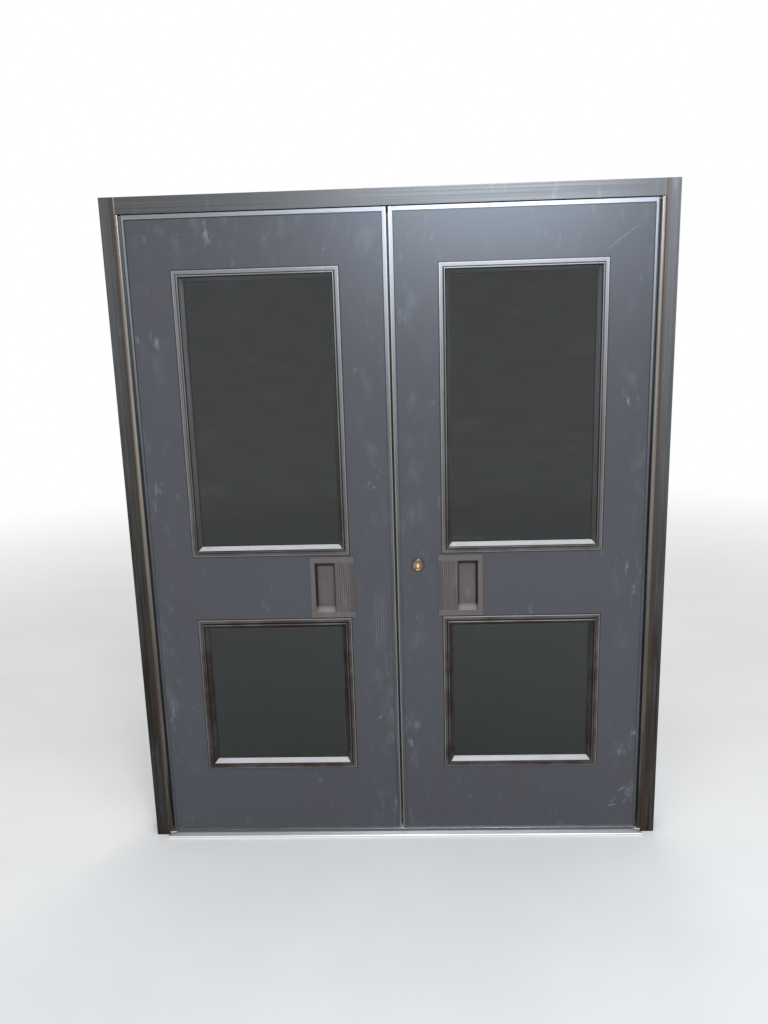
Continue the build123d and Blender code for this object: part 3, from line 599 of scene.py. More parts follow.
@dataclass(frozen=True)
class MitredBronze(BronzeAnodised):
    """The same finish on mitred bars round the lights, its lines turning at each mitre."""

    bevel_in_mm: float = 20.5
    groove_in_mm: tuple[float, ...] = (13.0, 20.5)
    groove_mm: float = 2.2
    # Painted shade at the bead's feet; a painted highlight on the outer arris
    groove: str = "#1A1817"
    groove_depth: float = 0.85
    arris: str = "#A8A299"
    arris_in: Span = (-0.0032, -0.0018)
    arris_highlight: float = 0.5
    bar_middle: float = 0.013
    bar_reach: Span = (0.018, 0.022)
    bar_dust: float = 0.15

    def top_highlight_mask(self, surface: Surface) -> Socket:
        """Painted highlight on the bottom bars' bevels, with little on the top bars.

        Args:
            surface: the material that is being made.

        Returns:
            The mask.
        """
        bevel = surface.fade(surface.past_light[1], (
            -(self.bevel_in_mm + 1.6) * MM, -(self.bevel_in_mm + 0.4) * MM), (1.0, 0.0))
        by_height = [surface.fade(surface.off_from(surface.axes[2], high - self.bar_middle),
                               self.bar_reach, (self.bar_dust, 1.0)) for _, high in LIGHT_Z]
        return surface.join(Join.ALL, surface.settled_dust(self.top_highlight_amount), bevel, *by_height)

    def lines(self, surface: Surface) -> Socket:
        """Streaks along each bar.

        Args:
            surface: the material that is being made.

        Returns:
            A value from 0 to 1.
        """
        past_x, past_z = surface.past_light
        on_level = surface.add_node("ShaderNodeMath", {"operation": "GREATER_THAN"},
                                    {0: past_z, 1: past_x})
        upright, level = [surface.drawn_lines(self.line_mm, self.run_mm, along, seed)
                          for along, seed in ((Along.Z, 4.4), (Along.X, 7.9))]
        return surface.add_node("ShaderNodeMix", {"data_type": "FLOAT"}, {
            0: on_level.outputs[0], 2: upright, 3: level}).outputs[0]

    def finer(self, surface: Surface, colour: Socket) -> Socket:
        """Painted shade at the bead's feet, painted highlight on the outer arris, drawn wide to
        show.

        Args:
            surface: the material that is being made.
            colour: the finish's colour so far.

        Returns:
            The colour with that added.
        """
        past = surface.join(Join.ANY, *surface.past_light)
        width = self.groove_mm * MM
        for groove_in in self.groove_in_mm:
            off = surface.off_from(past, -groove_in * MM)
            colour = surface.lay(colour, self.groove,
                                 surface.fade(off, (0.5 * width, width), (self.groove_depth, 0.0)))
        return surface.lay(colour, self.arris, surface.fade(
            past, self.arris_in, (0.0, self.arris_highlight)))


@dataclass(frozen=True)
class HandledBronze(BronzeAnodised):
    """The same finish on a recessed pull, with painted shade between its ribs and in its recess."""

    groove_y: Span = (-0.0571, -0.0562)
    recess_x: Span = (0.206, 0.273)
    recess_z: Span = (0.834, 1.007)
    recess_y: Span = (-0.0545, -0.050)
    shade: str = "#14100E"
    side_shade: Span = (-0.0075, -0.0045)
    top_shade: Span = (-0.022, -0.016)
    rib_shade: float = 0.55
    deepest: float = 0.9
    foot_dust: Span = (0.003, 0.018)

    def top_highlight_mask(self, surface: Surface) -> Socket:
        """Painted highlight that is strongest at the recess's foot and fades upwards."""
        foot_low, foot_high = [self.recess_z[0] + up for up in self.foot_dust]
        return surface.fade(surface.axes[2], (foot_low, foot_high), (1.0, 0.1),
                            surface.settled_dust(self.top_highlight_amount))

    def finer(self, surface: Surface, colour: Socket) -> Socket:
        """Painted shade between the ribs, and painted shadow up the recess's sides and under its
        top.

        Args:
            surface: the material that is being made.
            colour: the finish's colour so far.

        Returns:
            The colour with that added.
        """
        grip = surface.add_node("ShaderNodeMath", {"operation": "LESS_THAN"},
                                {0: surface.across, 1: self.recess_x[0]})
        colour = surface.lay(colour, self.dark, surface.fade(
            surface.axes[1], self.groove_y, (0.0, self.rib_shade), grip.outputs[0]))
        sides = surface.fade(surface.past_span(surface.across, self.recess_x),
                             self.side_shade, (0.0, self.deepest))
        top_low, top_high = [self.recess_z[1] + down for down in self.top_shade]
        under = surface.fade(surface.axes[2], (top_low, top_high), (0.0, self.deepest))
        return surface.lay(colour, self.shade, surface.join(Join.ANY, sides, under),
                           surface.fade(surface.axes[1], self.recess_y))


@dataclass(frozen=True)
class BandedBronze(BronzeAnodised):
    """The same finish with an upright band down its outer face: a stain on the jambs, painted shade
    at the hinges and a painted highlight at the meeting edges.
    """

    band_x: Span = (0.0, 1.0)
    band_mask: Span = (0.0, 1.0)
    band: str = "#100E0D"
    face_y: Span = (-0.0540, -0.0520)

    def finer(self, surface: Surface, colour: Socket) -> Socket:
        """The band, by distance from the middle of the frame."""
        return surface.lay(colour, self.band,
                           surface.fade(surface.across, self.band_x, self.band_mask),
                           surface.fade(surface.axes[1], self.face_y, (1.0, 0.0)))


# Bare metal as it left the mill or the polishing belt: bright, with fine lines along the piece and
# dull patches where feet, hands and air have reached it
@dataclass(frozen=True)
class BareMetal(Finish):
    """Uncoated or clear-anodised metal with fine lines."""

    along: Along = Along.X
    colour: str = "#C9CACA"
    tarnish: str = "#8F9296"
    metallic: float = 1.0
    roughness: float = 0.3
    line_mm: float = 1.5
    run_mm: float = 300.0
    blot_mm: float = 60.0
    tarnish_amount: float = 0.5
    arris_mm: float = 0.5

    def paint(self, surface: Surface) -> None:
        """Build the material's nodes on its new surface.

        Args:
            surface: the material that is being made.
        """
        lines = surface.drawn_lines(self.line_mm, self.run_mm, self.along, seed=4.9)
        blots = surface.blots(Blots((self.blot_mm,) * 3, 9.2, 5, (0.4, 0.7),
                                    (0.0, self.tarnish_amount)))
        colour = surface.lay(self.colour, self.tarnish, blots)
        colour = surface.lay(colour, self.tarnish, surface.fade(lines, (0.3, 0.5), (0.4, 0.0)))
        surface.connect(surface.shader, {
            "Base Color": self.finer(surface, colour), "Metallic": self.metallic,
            "Roughness": surface.fade(blots, (0.0, 0.6), (self.roughness, self.roughness + 0.2)),
            "Normal": surface.relief(lines, depth_mm=0.015, arris_mm=self.arris_mm)})


@dataclass(frozen=True)
class Spot:
    """A soft patch of another colour, as (x, z) of its middle with its reach each way."""

    at: Span
    reach_mm: Span
    strength: float
    colour: str

    def mask(self, surface: Surface) -> Socket:
        """Oval with a soft edge, as strong as the spot.

        Args:
            surface: the material that is being made.

        Returns:
            The mask.
        """
        off = surface.add_node("ShaderNodeVectorMath", {"operation": "SUBTRACT"},
                               {0: surface.place, 1: (self.at[0], 0.0, self.at[1])})
        wide, high = self.reach_mm
        scaled = surface.add_node("ShaderNodeVectorMath", {"operation": "MULTIPLY"}, {
            0: off.outputs[0], 1: (1 / (wide * MM), 0.0, 1 / (high * MM))})
        size = surface.add_node("ShaderNodeVectorMath", {"operation": "LENGTH"},
                                {0: scaled.outputs[0]})
        return surface.fade(size.outputs["Value"], (0.45, 1.0), (self.strength, 0.0))


@dataclass(frozen=True)
class SpottedMetal(BareMetal):
    """The same metal on the lock, with soft oval spots painted on it: painted highlights, painted
    shade and another tone.
    """

    spots: tuple[Spot, ...] = ()

    def finer(self, surface: Surface, colour: Socket) -> Socket:
        """The spots."""
        for spot in self.spots:
            colour = surface.lay(colour, spot.colour, spot.mask(surface))
        return colour


# Float glass tinted grey in the melt: clear and flat, with a slow waviness from the rollers and a
# thin film of dust and wiped rain
@dataclass(frozen=True)
class TintedGlass(Finish):
    """Grey tinted float glass."""

    colour: str = "#5A6160"
    film: str = "#6C716E"
    wiped: Blots = Blots((120, 120, 35), 5.5, 5, (0.45, 0.8))
    roller_mm: tuple[float, float, float] = (330, 330, 480)
    wave_mm: float = 0.05

    def paint(self, surface: Surface) -> None:
        """Build the material's nodes on its new surface.

        Args:
            surface: the material that is being made.
        """
        wave = surface.add_node("ShaderNodeBump", sockets={
            "Strength": 1.0, "Distance": self.wave_mm * MM,
            "Height": surface.noise(self.roller_mm, seed=2.2, detail=1)})
        surface.connect(surface.shader, {
            "Base Color": surface.lay(self.colour, self.film, surface.blots(self.wiped)),
            "Transmission Weight": 1.0, "IOR": 1.5, "Roughness": 0.0,
            "Normal": wave.outputs[0]})


# Moulded or extruded polymer, from black seal rubber to white bearing plastic: matt, with a faint
# bloom of dust
@dataclass(frozen=True)
class Polymer(Finish):
    """Rubber or plastic with a slight bloom."""

    colour: str = "#171717"
    bloom: str = "#3A3A38"
    roughness: float = 0.7
    blot_mm: float = 25.0

    def paint(self, surface: Surface) -> None:
        """Build the material's nodes on its new surface.

        Args:
            surface: the material that is being made.
        """
        blots = surface.noise((self.blot_mm,) * 3, seed=3.3, detail=5)
        surface.connect(surface.shader, {
            "Base Color": surface.lay(self.colour, self.bloom,
                                      surface.fade(blots, (0.45, 0.75), (0.0, 0.8))),
            "Roughness": surface.fade(blots, (0.3, 0.7), (
                self.roughness - 0.08, self.roughness + 0.1)),
            "Normal": surface.relief(blots, depth_mm=0.05, arris_mm=0.3)})


LEAF_MARKS = (
    Scratch((0.6686, 1.9818), (0.769, 2.0543), 2.2, 0.6),
    Scratch((0.7586, 0.1545), (0.7814, 0.1716), 4.0, 0.8),
    Scratch((0.7814, 0.1716), (0.8053, 0.1540), 4.5, 0.5),
    Scratch((0.8087, 0.1471), (0.7966, 0.1368), 3.5, 0.5),
    Scratch((0.7881, 0.1577), (0.7919, 0.1368), 3.5, 0.4),
    Scratch((0.7756, 0.1092), (0.7908, 0.1230), 4.0, 0.5),
    Scratch((0.7290, 0.0991), (0.7538, 0.1059), 5.0, 0.5),
    Scratch((0.7350, 0.1095), (0.7530, 0.1337), 4.0, 0.35),
    Scratch((0.6838, 0.1535), (0.7087, 0.1550), 3.0, 0.2),
    Rubbing((-0.0805, 0.66), (-0.0385, 0.93), 8.4, 0.45),
)
WEATHERED_PAINT = SatinPaint("satin_paint_weathered", marks=LEAF_MARKS)
INDOOR_PAINT = SatinPaint("satin_paint_indoor", smudge=0.25)
MULLION_PAINT = SatinPaint(
    "satin_paint_bronze", colour="#3B3835", warm="#403C38", smudge=0.1, on_sheet=False)
UPRIGHT_BRONZE = BronzeAnodised("bronze_anodised_upright", grime_and_shade_z=(0.4, 1.95))
JAMB_STAIN = {"band_x": (0.848, 0.864), "band_mask": (0.6, 0.0), "band": "#45362B"}
# The left-hand jamb is painted darker and higher up, the right-hand one lighter: painted shade and
# light as if lit from the right, with dirt low down
JAMB_LEFT_BRONZE = BandedBronze(
    "bronze_anodised_jamb_left", grime_and_shade="#211E18", grime_and_shade_z=(0.75, 2.1), grime_and_shade_least=0.6,
    **JAMB_STAIN)
JAMB_RIGHT_BRONZE = BandedBronze(
    "bronze_anodised_jamb_right", grime_and_shade="#27221B", grime_and_shade_z=(0.4, 1.9), grime_and_shade_least=0.45,
    colour="#555656", **JAMB_STAIN)
LEVEL_BRONZE = BronzeAnodised("bronze_anodised_level", along=Along.X, streaks=0.35)
# The lips darken from near their top downwards: painted light, as if their top were lit more
LIP_TINTS = {"colour": "#7E8185", "light": "#9EA2A7", "dark": "#64676B", "roughness": 0.34,
             "grime_and_shade": "#4B4D52", "grime_and_shade_z": (1.0, 2.15), "grime_and_shade_least": 0.75}
# Its pale band by the meeting edge is a painted highlight on the lip's edge
LIP_MEETING = BandedBronze(
    "bronze_anodised_lip_meeting", band_x=(0.0062, 0.0080), band_mask=(0.5, 0.0), band="#9C9386",
    **LIP_TINTS)
# Painted shade: the shadowed slit between leaf and hinge cap, painted dark on the lip and wider so
# that it shows
LIP_HINGE = BandedBronze(
    "bronze_anodised_lip_hinge", band_x=(0.8225, 0.825), band_mask=(0.0, 0.96), **LIP_TINTS)
LIP_LEVEL = BronzeAnodised(
    "bronze_anodised_lip_level", along=Along.X, run_off_mm=(60.0, 9.0, 60.0), **LIP_TINTS)
# The dark band down the cap's outer side is painted shade
CAP_BRONZE = BandedBronze(
    "bronze_anodised_cap", colour="#76716A", light="#9D978C", dark="#4F4B44", roughness=0.3,
    band_x=(0.8375, 0.8415), band_mask=(0.0, 0.65), band="#3C3128")
# Darker low down, partly dirt and partly painted shade; pale bottom bevels are a painted highlight
GLAZING_BRONZE = MitredBronze(
    "bronze_anodised_mitred", colour="#717274", light="#939597", dark="#525253", metallic=0.85,
    roughness=0.36, line_mm=2.5, run_mm=260.0, grime_and_shade="#40362F", grime_and_shade_z=(0.5, 2.0),
    grime_and_shade_least=0.55, dust="#BBBCBC", top_highlight_amount=0.88, run_off_mm=(90.0, 90.0, 90.0))
# Pale foot of the recess: painted highlight; its sides, top and the gaps between ribs: painted
# shade
PULL_BRONZE = HandledBronze(
    "bronze_anodised_handled", colour="#5D5654", light="#6B6461", dark="#352F2D", metallic=0.3,
    roughness=0.42, line_mm=1.5, run_mm=40.0, grime_and_shade_z=(0.0, 0.05), dust="#9C938E")
# Feet and weather leave a dull white oxide on it, so that it is only partly a mirror; its pale blue
# is a painted reflection of sky
MILL_ALUMINIUM = BareMetal(
    "mill_aluminium", colour="#E0ECF8", tarnish="#C4D0DE", metallic=0.3, roughness=0.45,
    tarnish_amount=0.4)
SPACER_ALUMINIUM = BareMetal(
    "spacer_aluminium", colour="#C8CACA", tarnish="#A9ABAB", line_mm=0.8)
# Brushed lines are finer than a tenth of a millimetre; here they are 2 mm wide so that they show
SATIN_ALUMINIUM = BareMetal(
    "satin_aluminium", colour="#A9ABAC", tarnish="#85878A", roughness=0.34, tarnish_amount=0.35,
    line_mm=2.0, run_mm=240.0, arris_mm=1.0)
SATIN_STEEL = BareMetal(
    "satin_steel", along=Along.Z, colour="#989896", tarnish="#757573", roughness=0.38,
    tarnish_amount=0.4, line_mm=2.0, run_mm=160.0, arris_mm=1.5)
ZINC_PLATE = BareMetal(
    "zinc_plated_steel", along=Along.Z, colour="#B4B6B6", tarnish="#84868A", roughness=0.34,
    blot_mm=15.0)
# Its pale spot on the plug's face is a painted highlight
SATIN_BRASS = SpottedMetal(
    "satin_brass", along=Along.Z, colour="#C9A665", tarnish="#8D6C3C", roughness=0.24, blot_mm=6.0,
    line_mm=0.6, run_mm=9.0, tarnish_amount=0.4,
    spots=(Spot((0.0727, 0.9925), (3.2, 9.0), 0.95, "#FFEBC6"),))
# Its pale spot is a painted highlight; the grey-brown one greys the body's left part
WORN_BRASS = SpottedMetal(
    "worn_brass", along=Along.Z, colour="#887346", tarnish="#54452F", roughness=0.3, blot_mm=7.0,
    line_mm=0.8, run_mm=12.0, tarnish_amount=0.8,
    spots=(Spot((0.0630, 0.9945), (7.5, 15.0), 0.85, "#8C7F73"),
          Spot((0.0730, 0.9925), (4.5, 12.0), 0.85, "#EBCB92")))
# Its pale top spot and near-white crescent low down are painted highlights; the dark line under the
# crescent is painted shade
DARK_COLLAR = SpottedMetal(
    "collar_worn_bronze", along=Along.X, colour="#766A62", tarnish="#3C322C", roughness=0.22,
    blot_mm=8.0, line_mm=0.8, run_mm=12.0, tarnish_amount=0.8,
    spots=(Spot((0.0745, 1.0125), (8.5, 3.6), 0.7, "#C4C6C8"),
          Spot((0.0740, 0.9752), (9.0, 2.6), 0.7, "#33292C"),
          Spot((0.0735, 0.9786), (7.5, 2.4), 1.0, "#FFF4EE")))
GLASS = TintedGlass("grey_float_glass")
SEAL_RUBBER = Polymer("black_seal_rubber")
BEARING_PLASTIC = Polymer("bearing_acetal", colour="#B4B3AD", bloom="#96948C", roughness=0.45)
FOAM = Polymer("core_foam", colour="#DCD3B0", bloom="#C9BF9A", roughness=0.9)
SEALANT = Polymer(
    "joint_sealant", colour="#77776F", bloom="#8F8F86", roughness=0.6, blot_mm=12.0)


def make_piece(name: str, mesh: bmesh.types.BMesh, finish: Finish, body: str,
               smooth_deg: float = 35.0) -> None:
    """Turn a finished mesh into a piece that rides on a body.

    Args:
        name: the piece's name.
        mesh: its mesh, in the model's frame; freed here.
        finish: what it is finished in.
        body: the body that it moves with.
        smooth_deg: edges sharper than this stay sharp.
    """
    bmesh.ops.recalc_face_normals(mesh, faces=mesh.faces)
    data = bpy.data.meshes.new(name)
    mesh.to_mesh(data)
    mesh.free()
    data.shade_smooth()
    data.set_sharp_from_angle(angle=math.radians(smooth_deg))
    piece = bpy.data.objects.new(name, data)
    bpy.context.scene.collection.objects.link(piece)
    finish.on_piece(piece)
    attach(piece, body)
    LOG.info("%s: %d faces on %s", name, len(data.polygons), body)


def join_rings(mesh: bmesh.types.BMesh, rings: Sequence[Sequence[bmesh.types.BMVert]]) -> None:
    """Span faces between rings of vertices, one after the other.

    Args:
        mesh: the mesh that has the vertices.
        rings: the rings, each with as many vertices as the others.
    """
    count = len(rings[0])
    for lower, upper in zip(rings, rings[1:]):
        for k in range(count):
            after = (k + 1) % count
            mesh.faces.new((lower[k], lower[after], upper[after], upper[k]))


def evenly(low: float, high: float, count: int, inset: float) -> list[float]:
    """Places along a run, the first and last set in from its ends."""
    step = (high - low - 2 * inset) / (count - 1)
    return [low + inset + k * step for k in range(count)]


@dataclass(frozen=True)
class Screw:
    """A screw's head, domed a little, with its recess."""

    head_mm: float = 8.0
    rise_mm: float = 0.9
    recess_mm: float = 1.4
    drive: Drive = Drive.CROSS

    def quarter_outline(self, turn: float) -> list[tuple[float, float]]:
        """A quarter of the recess's outline as (x, y), before it is turned.

        Args:
            turn: how far that quarter is going to be turned.

        Returns:
            Six points.
        """
        reach = self.head_mm * MM / 2
        if self.drive is Drive.CROSS:
            arm, half = 0.55 * reach, 0.14 * reach
            return [(arm, 0.0), (arm, half), (0.55 * arm, half), (half, half),
                    (half, 0.55 * arm), (half, arm)]
        angles = [k * math.pi / 12 for k in range(6)]
        radii = [0.5 * reach / math.cos((a + turn) % (math.pi / 3) - math.pi / 6)
                 for a in angles]
        return [(r * math.cos(a), r * math.sin(a)) for r, a in zip(radii, angles)]

    def recess_outline(self) -> list[tuple[float, float]]:
        """Outline of the recess as (angle, radius), with one point for each of the head's."""
        turns = [quarter * math.pi / 2 for quarter in range(4)]
        return [(math.atan2(y, x) + turn, math.hypot(x, y))
                for turn in turns for x, y in self.quarter_outline(turn)]

    def add_to(self, mesh: bmesh.types.BMesh, place: Vector, normal: Vector,
               turn: float) -> None:
        """Add the head to a mesh.

        Args:
            mesh: the mesh that holds all the heads of a group.
            place: middle of the head on the surface.
            normal: the surface's outward direction.
            turn: how far the recess is turned.
        """
        reach, rise, depth = self.head_mm * MM / 2, self.rise_mm * MM, self.recess_mm * MM
        outline = self.recess_outline()
        dome = ((1.0, 0.0), (0.95, 0.45), (0.75, 0.85))
        rings = [[(a, share * reach, height * rise) for a, _ in outline]
                 for share, height in dome]
        rings += [[(a, r, rise) for a, r in outline],
                  [(a, 0.8 * r, rise - depth) for a, r in outline]]
        facing = normal.to_track_quat("Z", "Y").to_matrix().to_4x4()
        to_surface = Matrix.Translation(place) @ facing @ Matrix.Rotation(turn, 4, "Z")
        verts = [[mesh.verts.new(to_surface @ Vector((r * math.cos(a), r * math.sin(a), h)))
                  for a, r, h in ring] for ring in rings]
        join_rings(mesh, verts)
        mesh.faces.new(verts[-1])
        mesh.faces.new(list(reversed(verts[0])))


@dataclass
class ScrewGroup:
    """Screws of one size on one body, joined in one piece."""

    name: str
    body: str
    finish: Finish
    slot: str
    screw: Screw
    first_turn: float = 0.7
    next_turn: float = 1.9

    def build(self, normal: Vector, *places: tuple[float, float, float]) -> None:
        """Make the piece with screws that all look one way."""
        self.build_on((place, normal) for place in places)

    def build_on(self, seats: Iterable[tuple[tuple[float, float, float], Vector]]) -> None:
        """Make the piece.

        Args:
            seats: place and outward direction of each screw.
        """
        mesh = bmesh.new()
        for k, (place, normal) in enumerate(seats):
            self.screw.add_to(mesh, Vector(place), normal, self.first_turn + self.next_turn * k)
        make_piece(self.name, mesh, self.finish, self.body)


@dataclass
class FrameWork:
    """Jambs, head, stops, threshold and mullion."""

    sealant_w: float = 0.0035
    sealant_rise: float = 0.0004
    sealant_steps: int = 24
    sealant_sway: float = 0.0003
    threshold_screws: int = 7
    threshold_inset: float = 0.09
    before_seal: float = 0.0072
    strike_plate: float = 0.003
    strike_screw_in: float = 0.025
    strike_inset: float = 0.012
    bracket_screw_x: float = 0.013

    def dress(self) -> None:
        """Put the finishes on."""
        JAMB_LEFT_BRONZE.on("jamb_left")
        JAMB_RIGHT_BRONZE.on("jamb_right")
        UPRIGHT_BRONZE.on("stop_left", "stop_right")
        LEVEL_BRONZE.on("head", "stop_head")
        MILL_ALUMINIUM.on("threshold")
        MULLION_PAINT.on("mullion")
        ZINC_PLATE.on("mullion_fittings", "strikes")
        SEAL_RUBBER.on("weatherstrips")

    def add_sealant(self, side: Side) -> None:
        """Bead of sealant up the butt joint between jamb and head.

        Args:
            side: the side of the frame.
        """
        low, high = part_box("head")
        middle, half, rise = side.value * high.x, self.sealant_w / 2, self.sealant_rise
        section = [(-half, 0.0), (-0.6 * half, -rise), (0.6 * half, -rise), (half, 0.0)]
        mesh = bmesh.new()
        rows = []
        for k, z in enumerate(evenly(low.z, high.z, self.sealant_steps, 0.0)):
            sway = self.sealant_sway * math.sin(1.9 * k + side.value)
            rows.append([mesh.verts.new((middle + dx + sway, low.y + dy, z))
                         for dx, dy in section])
        join_rings(mesh, rows)
        mesh.faces.new(rows[0])
        mesh.faces.new(list(reversed(rows[-1])))
        make_piece(f"joint_sealant_{side.tag}", mesh, SEALANT, "frame")

    def add_screws(self) -> None:
        """Screws in the threshold, clear of the seals, in the strikes and the mullion's bracket."""
        low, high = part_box("threshold")
        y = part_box("weatherstrips")[0].y - self.before_seal
        ScrewGroup("threshold_screws", "frame", ZINC_PLATE, "mill_aluminium",
                   Screw(9.0, 0.6)).build(UPWARD, *(
                       (x, y, high.z)
                       for x in evenly(low.x, high.x, self.threshold_screws, self.threshold_inset)))
        low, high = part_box("strikes")
        plate_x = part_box("mullion")[1].x + self.strike_plate
        ScrewGroup("strike_screws", "frame", ZINC_PLATE, "latch_steel",
                   Screw(7.5, 0.5)).build_on(
                       ((s * plate_x, low.y + self.strike_screw_in, z), Vector((s, 0, 0)))
                       for s in (-1, 1) for z in evenly(low.z, high.z, 2, self.strike_inset))
        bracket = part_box("mullion_fittings")[1]
        z = (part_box("mullion")[1].z + bracket.z) / 2
        ScrewGroup("mullion_bracket_screws", "frame", ZINC_PLATE, "latch_steel",
                   Screw(6.0, 0.6)).build(INWARD, *(
                       (s * self.bracket_screw_x, bracket.y, z) for s in (-1, 1)))

    def build(self) -> None:
        """Dress the frame and add its small pieces."""
        self.dress()
        for side in Side:
            self.add_sealant(side)
        self.add_screws()
        LOG.info("frame work done")


@dataclass
class Hinge:
    """Continuous geared hinge on one side."""

    side: Side
    strap: float = 0.003
    rows: Span = (-0.044, -0.026)
    screws: int = 14
    inset: float = 0.06
    screw: Screw = Screw(8.5, 0.4)

    def add_screws(self, body: str, x: float, facing: int) -> None:
        """Flat screws in two staggered rows down a strap.

        Args:
            body: the body that the strap is on.
            x: the strap's open face, as a distance from the middle of the frame.
            facing: 1 where that face looks at the jamb, -1 where it looks at the leaf.
        """
        low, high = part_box(f"hinge_cap_{self.side.tag}")
        ScrewGroup(f"hinge_screws_{body}_{self.side.tag}", body, UPRIGHT_BRONZE,
                   "bronze_aluminium", self.screw).build(
                       Vector((facing * self.side.value, 0, 0)), *(
                           (self.side.value * x, self.rows[k % 2], z)
                           for k, z in enumerate(evenly(low.z, high.z, self.screws, self.inset))))

    def build(self) -> None:
        """Dress the hinge and add its screws."""
        tag = self.side.tag
        UPRIGHT_BRONZE.on(f"hinge_frame_leaf_{tag}", f"hinge_door_leaf_{tag}")
        CAP_BRONZE.on(f"hinge_cap_{tag}")
        BEARING_PLASTIC.on(f"hinge_bearings_{tag}")
        self.add_screws("frame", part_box("jamb_right")[0].x - self.strap, -1)
        self.add_screws(f"leaf_{tag}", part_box("stile_hinge_right")[1].x + self.strap, 1)
        LOG.info("hinge %s done", tag)


@dataclass
class Leaf:
    """One leaf: sheets, edges, glazing and pull."""

    side: Side
    glazing_screw: Screw = Screw(6.5, 0.6)
    glazing_rise: float = 0.003
    band_middle: float = 0.00625
    upper_rows: int = 5
    lower_rows: int = 3
    row_inset: float = 0.06
    columns: int = 3
    column_inset: float = 0.08

    def dress(self) -> None:
        """Put the finishes on."""
        tag = self.side.tag
        WEATHERED_PAINT.on(f"sheet_outer_{tag}")
        INDOOR_PAINT.on(f"sheet_inner_{tag}")
        LIP_HINGE.on(f"stile_hinge_{tag}")
        LIP_MEETING.on(f"stile_meeting_{tag}")
        LIP_LEVEL.on(f"rail_top_{tag}", f"rail_bottom_{tag}")
        GLAZING_BRONZE.on(f"glazing_frames_outer_{tag}", f"glazing_frames_inner_{tag}")
        GLASS.on(f"glass_{tag}")
        SPACER_ALUMINIUM.on(f"glass_spacers_{tag}")
        SEAL_RUBBER.on(f"glazing_gaskets_{tag}", f"door_sweep_{tag}")
        PULL_BRONZE.on(f"pull_{tag}")
        FOAM.on(f"core_{tag}")

    def add_glazing_screws(self) -> None:
        """Screws through the inner glazing frames' flat bands."""
        tag, band = self.side.tag, self.band_middle
        low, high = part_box(f"glazing_frames_inner_{tag}")
        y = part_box(f"sheet_inner_{tag}")[1].y + self.glazing_rise
        places = []
        for (z0, z1), rows in zip(LIGHT_Z, (self.lower_rows, self.upper_rows)):
            places += [(x, y, z) for z in evenly(z0, z1, rows, self.row_inset)
                       for x in (low.x + band, high.x - band)]
            places += [(x, y, z) for x in evenly(low.x, high.x, self.columns, self.column_inset)
                       for z in (z0 + band, z1 - band)]
        ScrewGroup(f"glazing_screws_{tag}", f"leaf_{tag}", GLAZING_BRONZE, "bronze_aluminium",
                   self.glazing_screw).build(INWARD, *places)

    def build(self) -> None:
        """Dress the leaf and add its small pieces."""
        self.dress()
        self.add_glazing_screws()
        LOG.info("leaf %s done", self.side.tag)


@dataclass
class ExitDevice:
    """Latch case, rail, push bar and latch on the inside of a leaf."""

    side: Side
    case_screw: Screw = Screw(7.0, 1.2)
    case_inset: float = 0.018
    cap_inset: float = 0.013
    dogging: Screw = Screw(11.0, 0.5, 5.0, Drive.HEX)
    dogging_in: float = 0.09

    def build(self) -> None:
        """Dress the device and add its screws."""
        tag = self.side.tag
        body = f"leaf_{tag}"
        SATIN_STEEL.on(f"exit_case_{tag}", f"exit_end_cap_{tag}")
        SATIN_ALUMINIUM.on(f"exit_rail_{tag}", f"push_bar_{tag}")
        ZINC_PLATE.on(f"latch_{tag}")
        places = []
        for node, inset in (("exit_case", self.case_inset), ("exit_end_cap", self.cap_inset)):
            low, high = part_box(f"{node}_{tag}")
            places += [((low.x + high.x) / 2, high.y, z) for z in evenly(low.z, high.z, 2, inset)]
        ScrewGroup(f"exit_device_screws_{tag}", body, ZINC_PLATE, "satin_steel",
                   self.case_screw).build(INWARD, *places)
        low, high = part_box(f"exit_rail_{tag}")
        x = self.side.value * (max(abs(low.x), abs(high.x)) - self.dogging_in)
        ScrewGroup(f"dogging_socket_{tag}", body, ZINC_PLATE, "satin_aluminium",
                   self.dogging).build(INWARD, (x, high.y, (low.z + high.z) / 2))
        LOG.info("exit device %s done", tag)


@dataclass
class RimCylinder:
    """Key cylinder on the right-hand leaf."""

    def build(self) -> None:
        """Dress the cylinder."""
        SATIN_BRASS.on("cylinder_core")
        WORN_BRASS.on("cylinder_body")
        DARK_COLLAR.on("cylinder_collar")
        LOG.info("rim cylinder done")


@dataclass(frozen=True)
class Lamp:
    """A soft lamp: its place, the point it faces, its width and height, and its power."""

    name: str
    at: tuple[float, float, float]
    aim: tuple[float, float, float]
    size: Span
    watts: float
    colour: str = "#FFFFFF"

    def build(self) -> None:
        """Hang the lamp."""
        data = bpy.data.lights.new(self.name, "AREA")
        data.shape = "RECTANGLE"
        data.size, data.size_y = self.size
        data.energy = self.watts
        data.color = linear(self.colour)[:3]
        lamp = bpy.data.objects.new(self.name, data)
        lamp.location = self.at
        facing = Vector(self.aim) - Vector(self.at)
        lamp.rotation_euler = facing.to_track_quat("-Z", "Y").to_euler()
        bpy.context.scene.collection.objects.link(lamp)


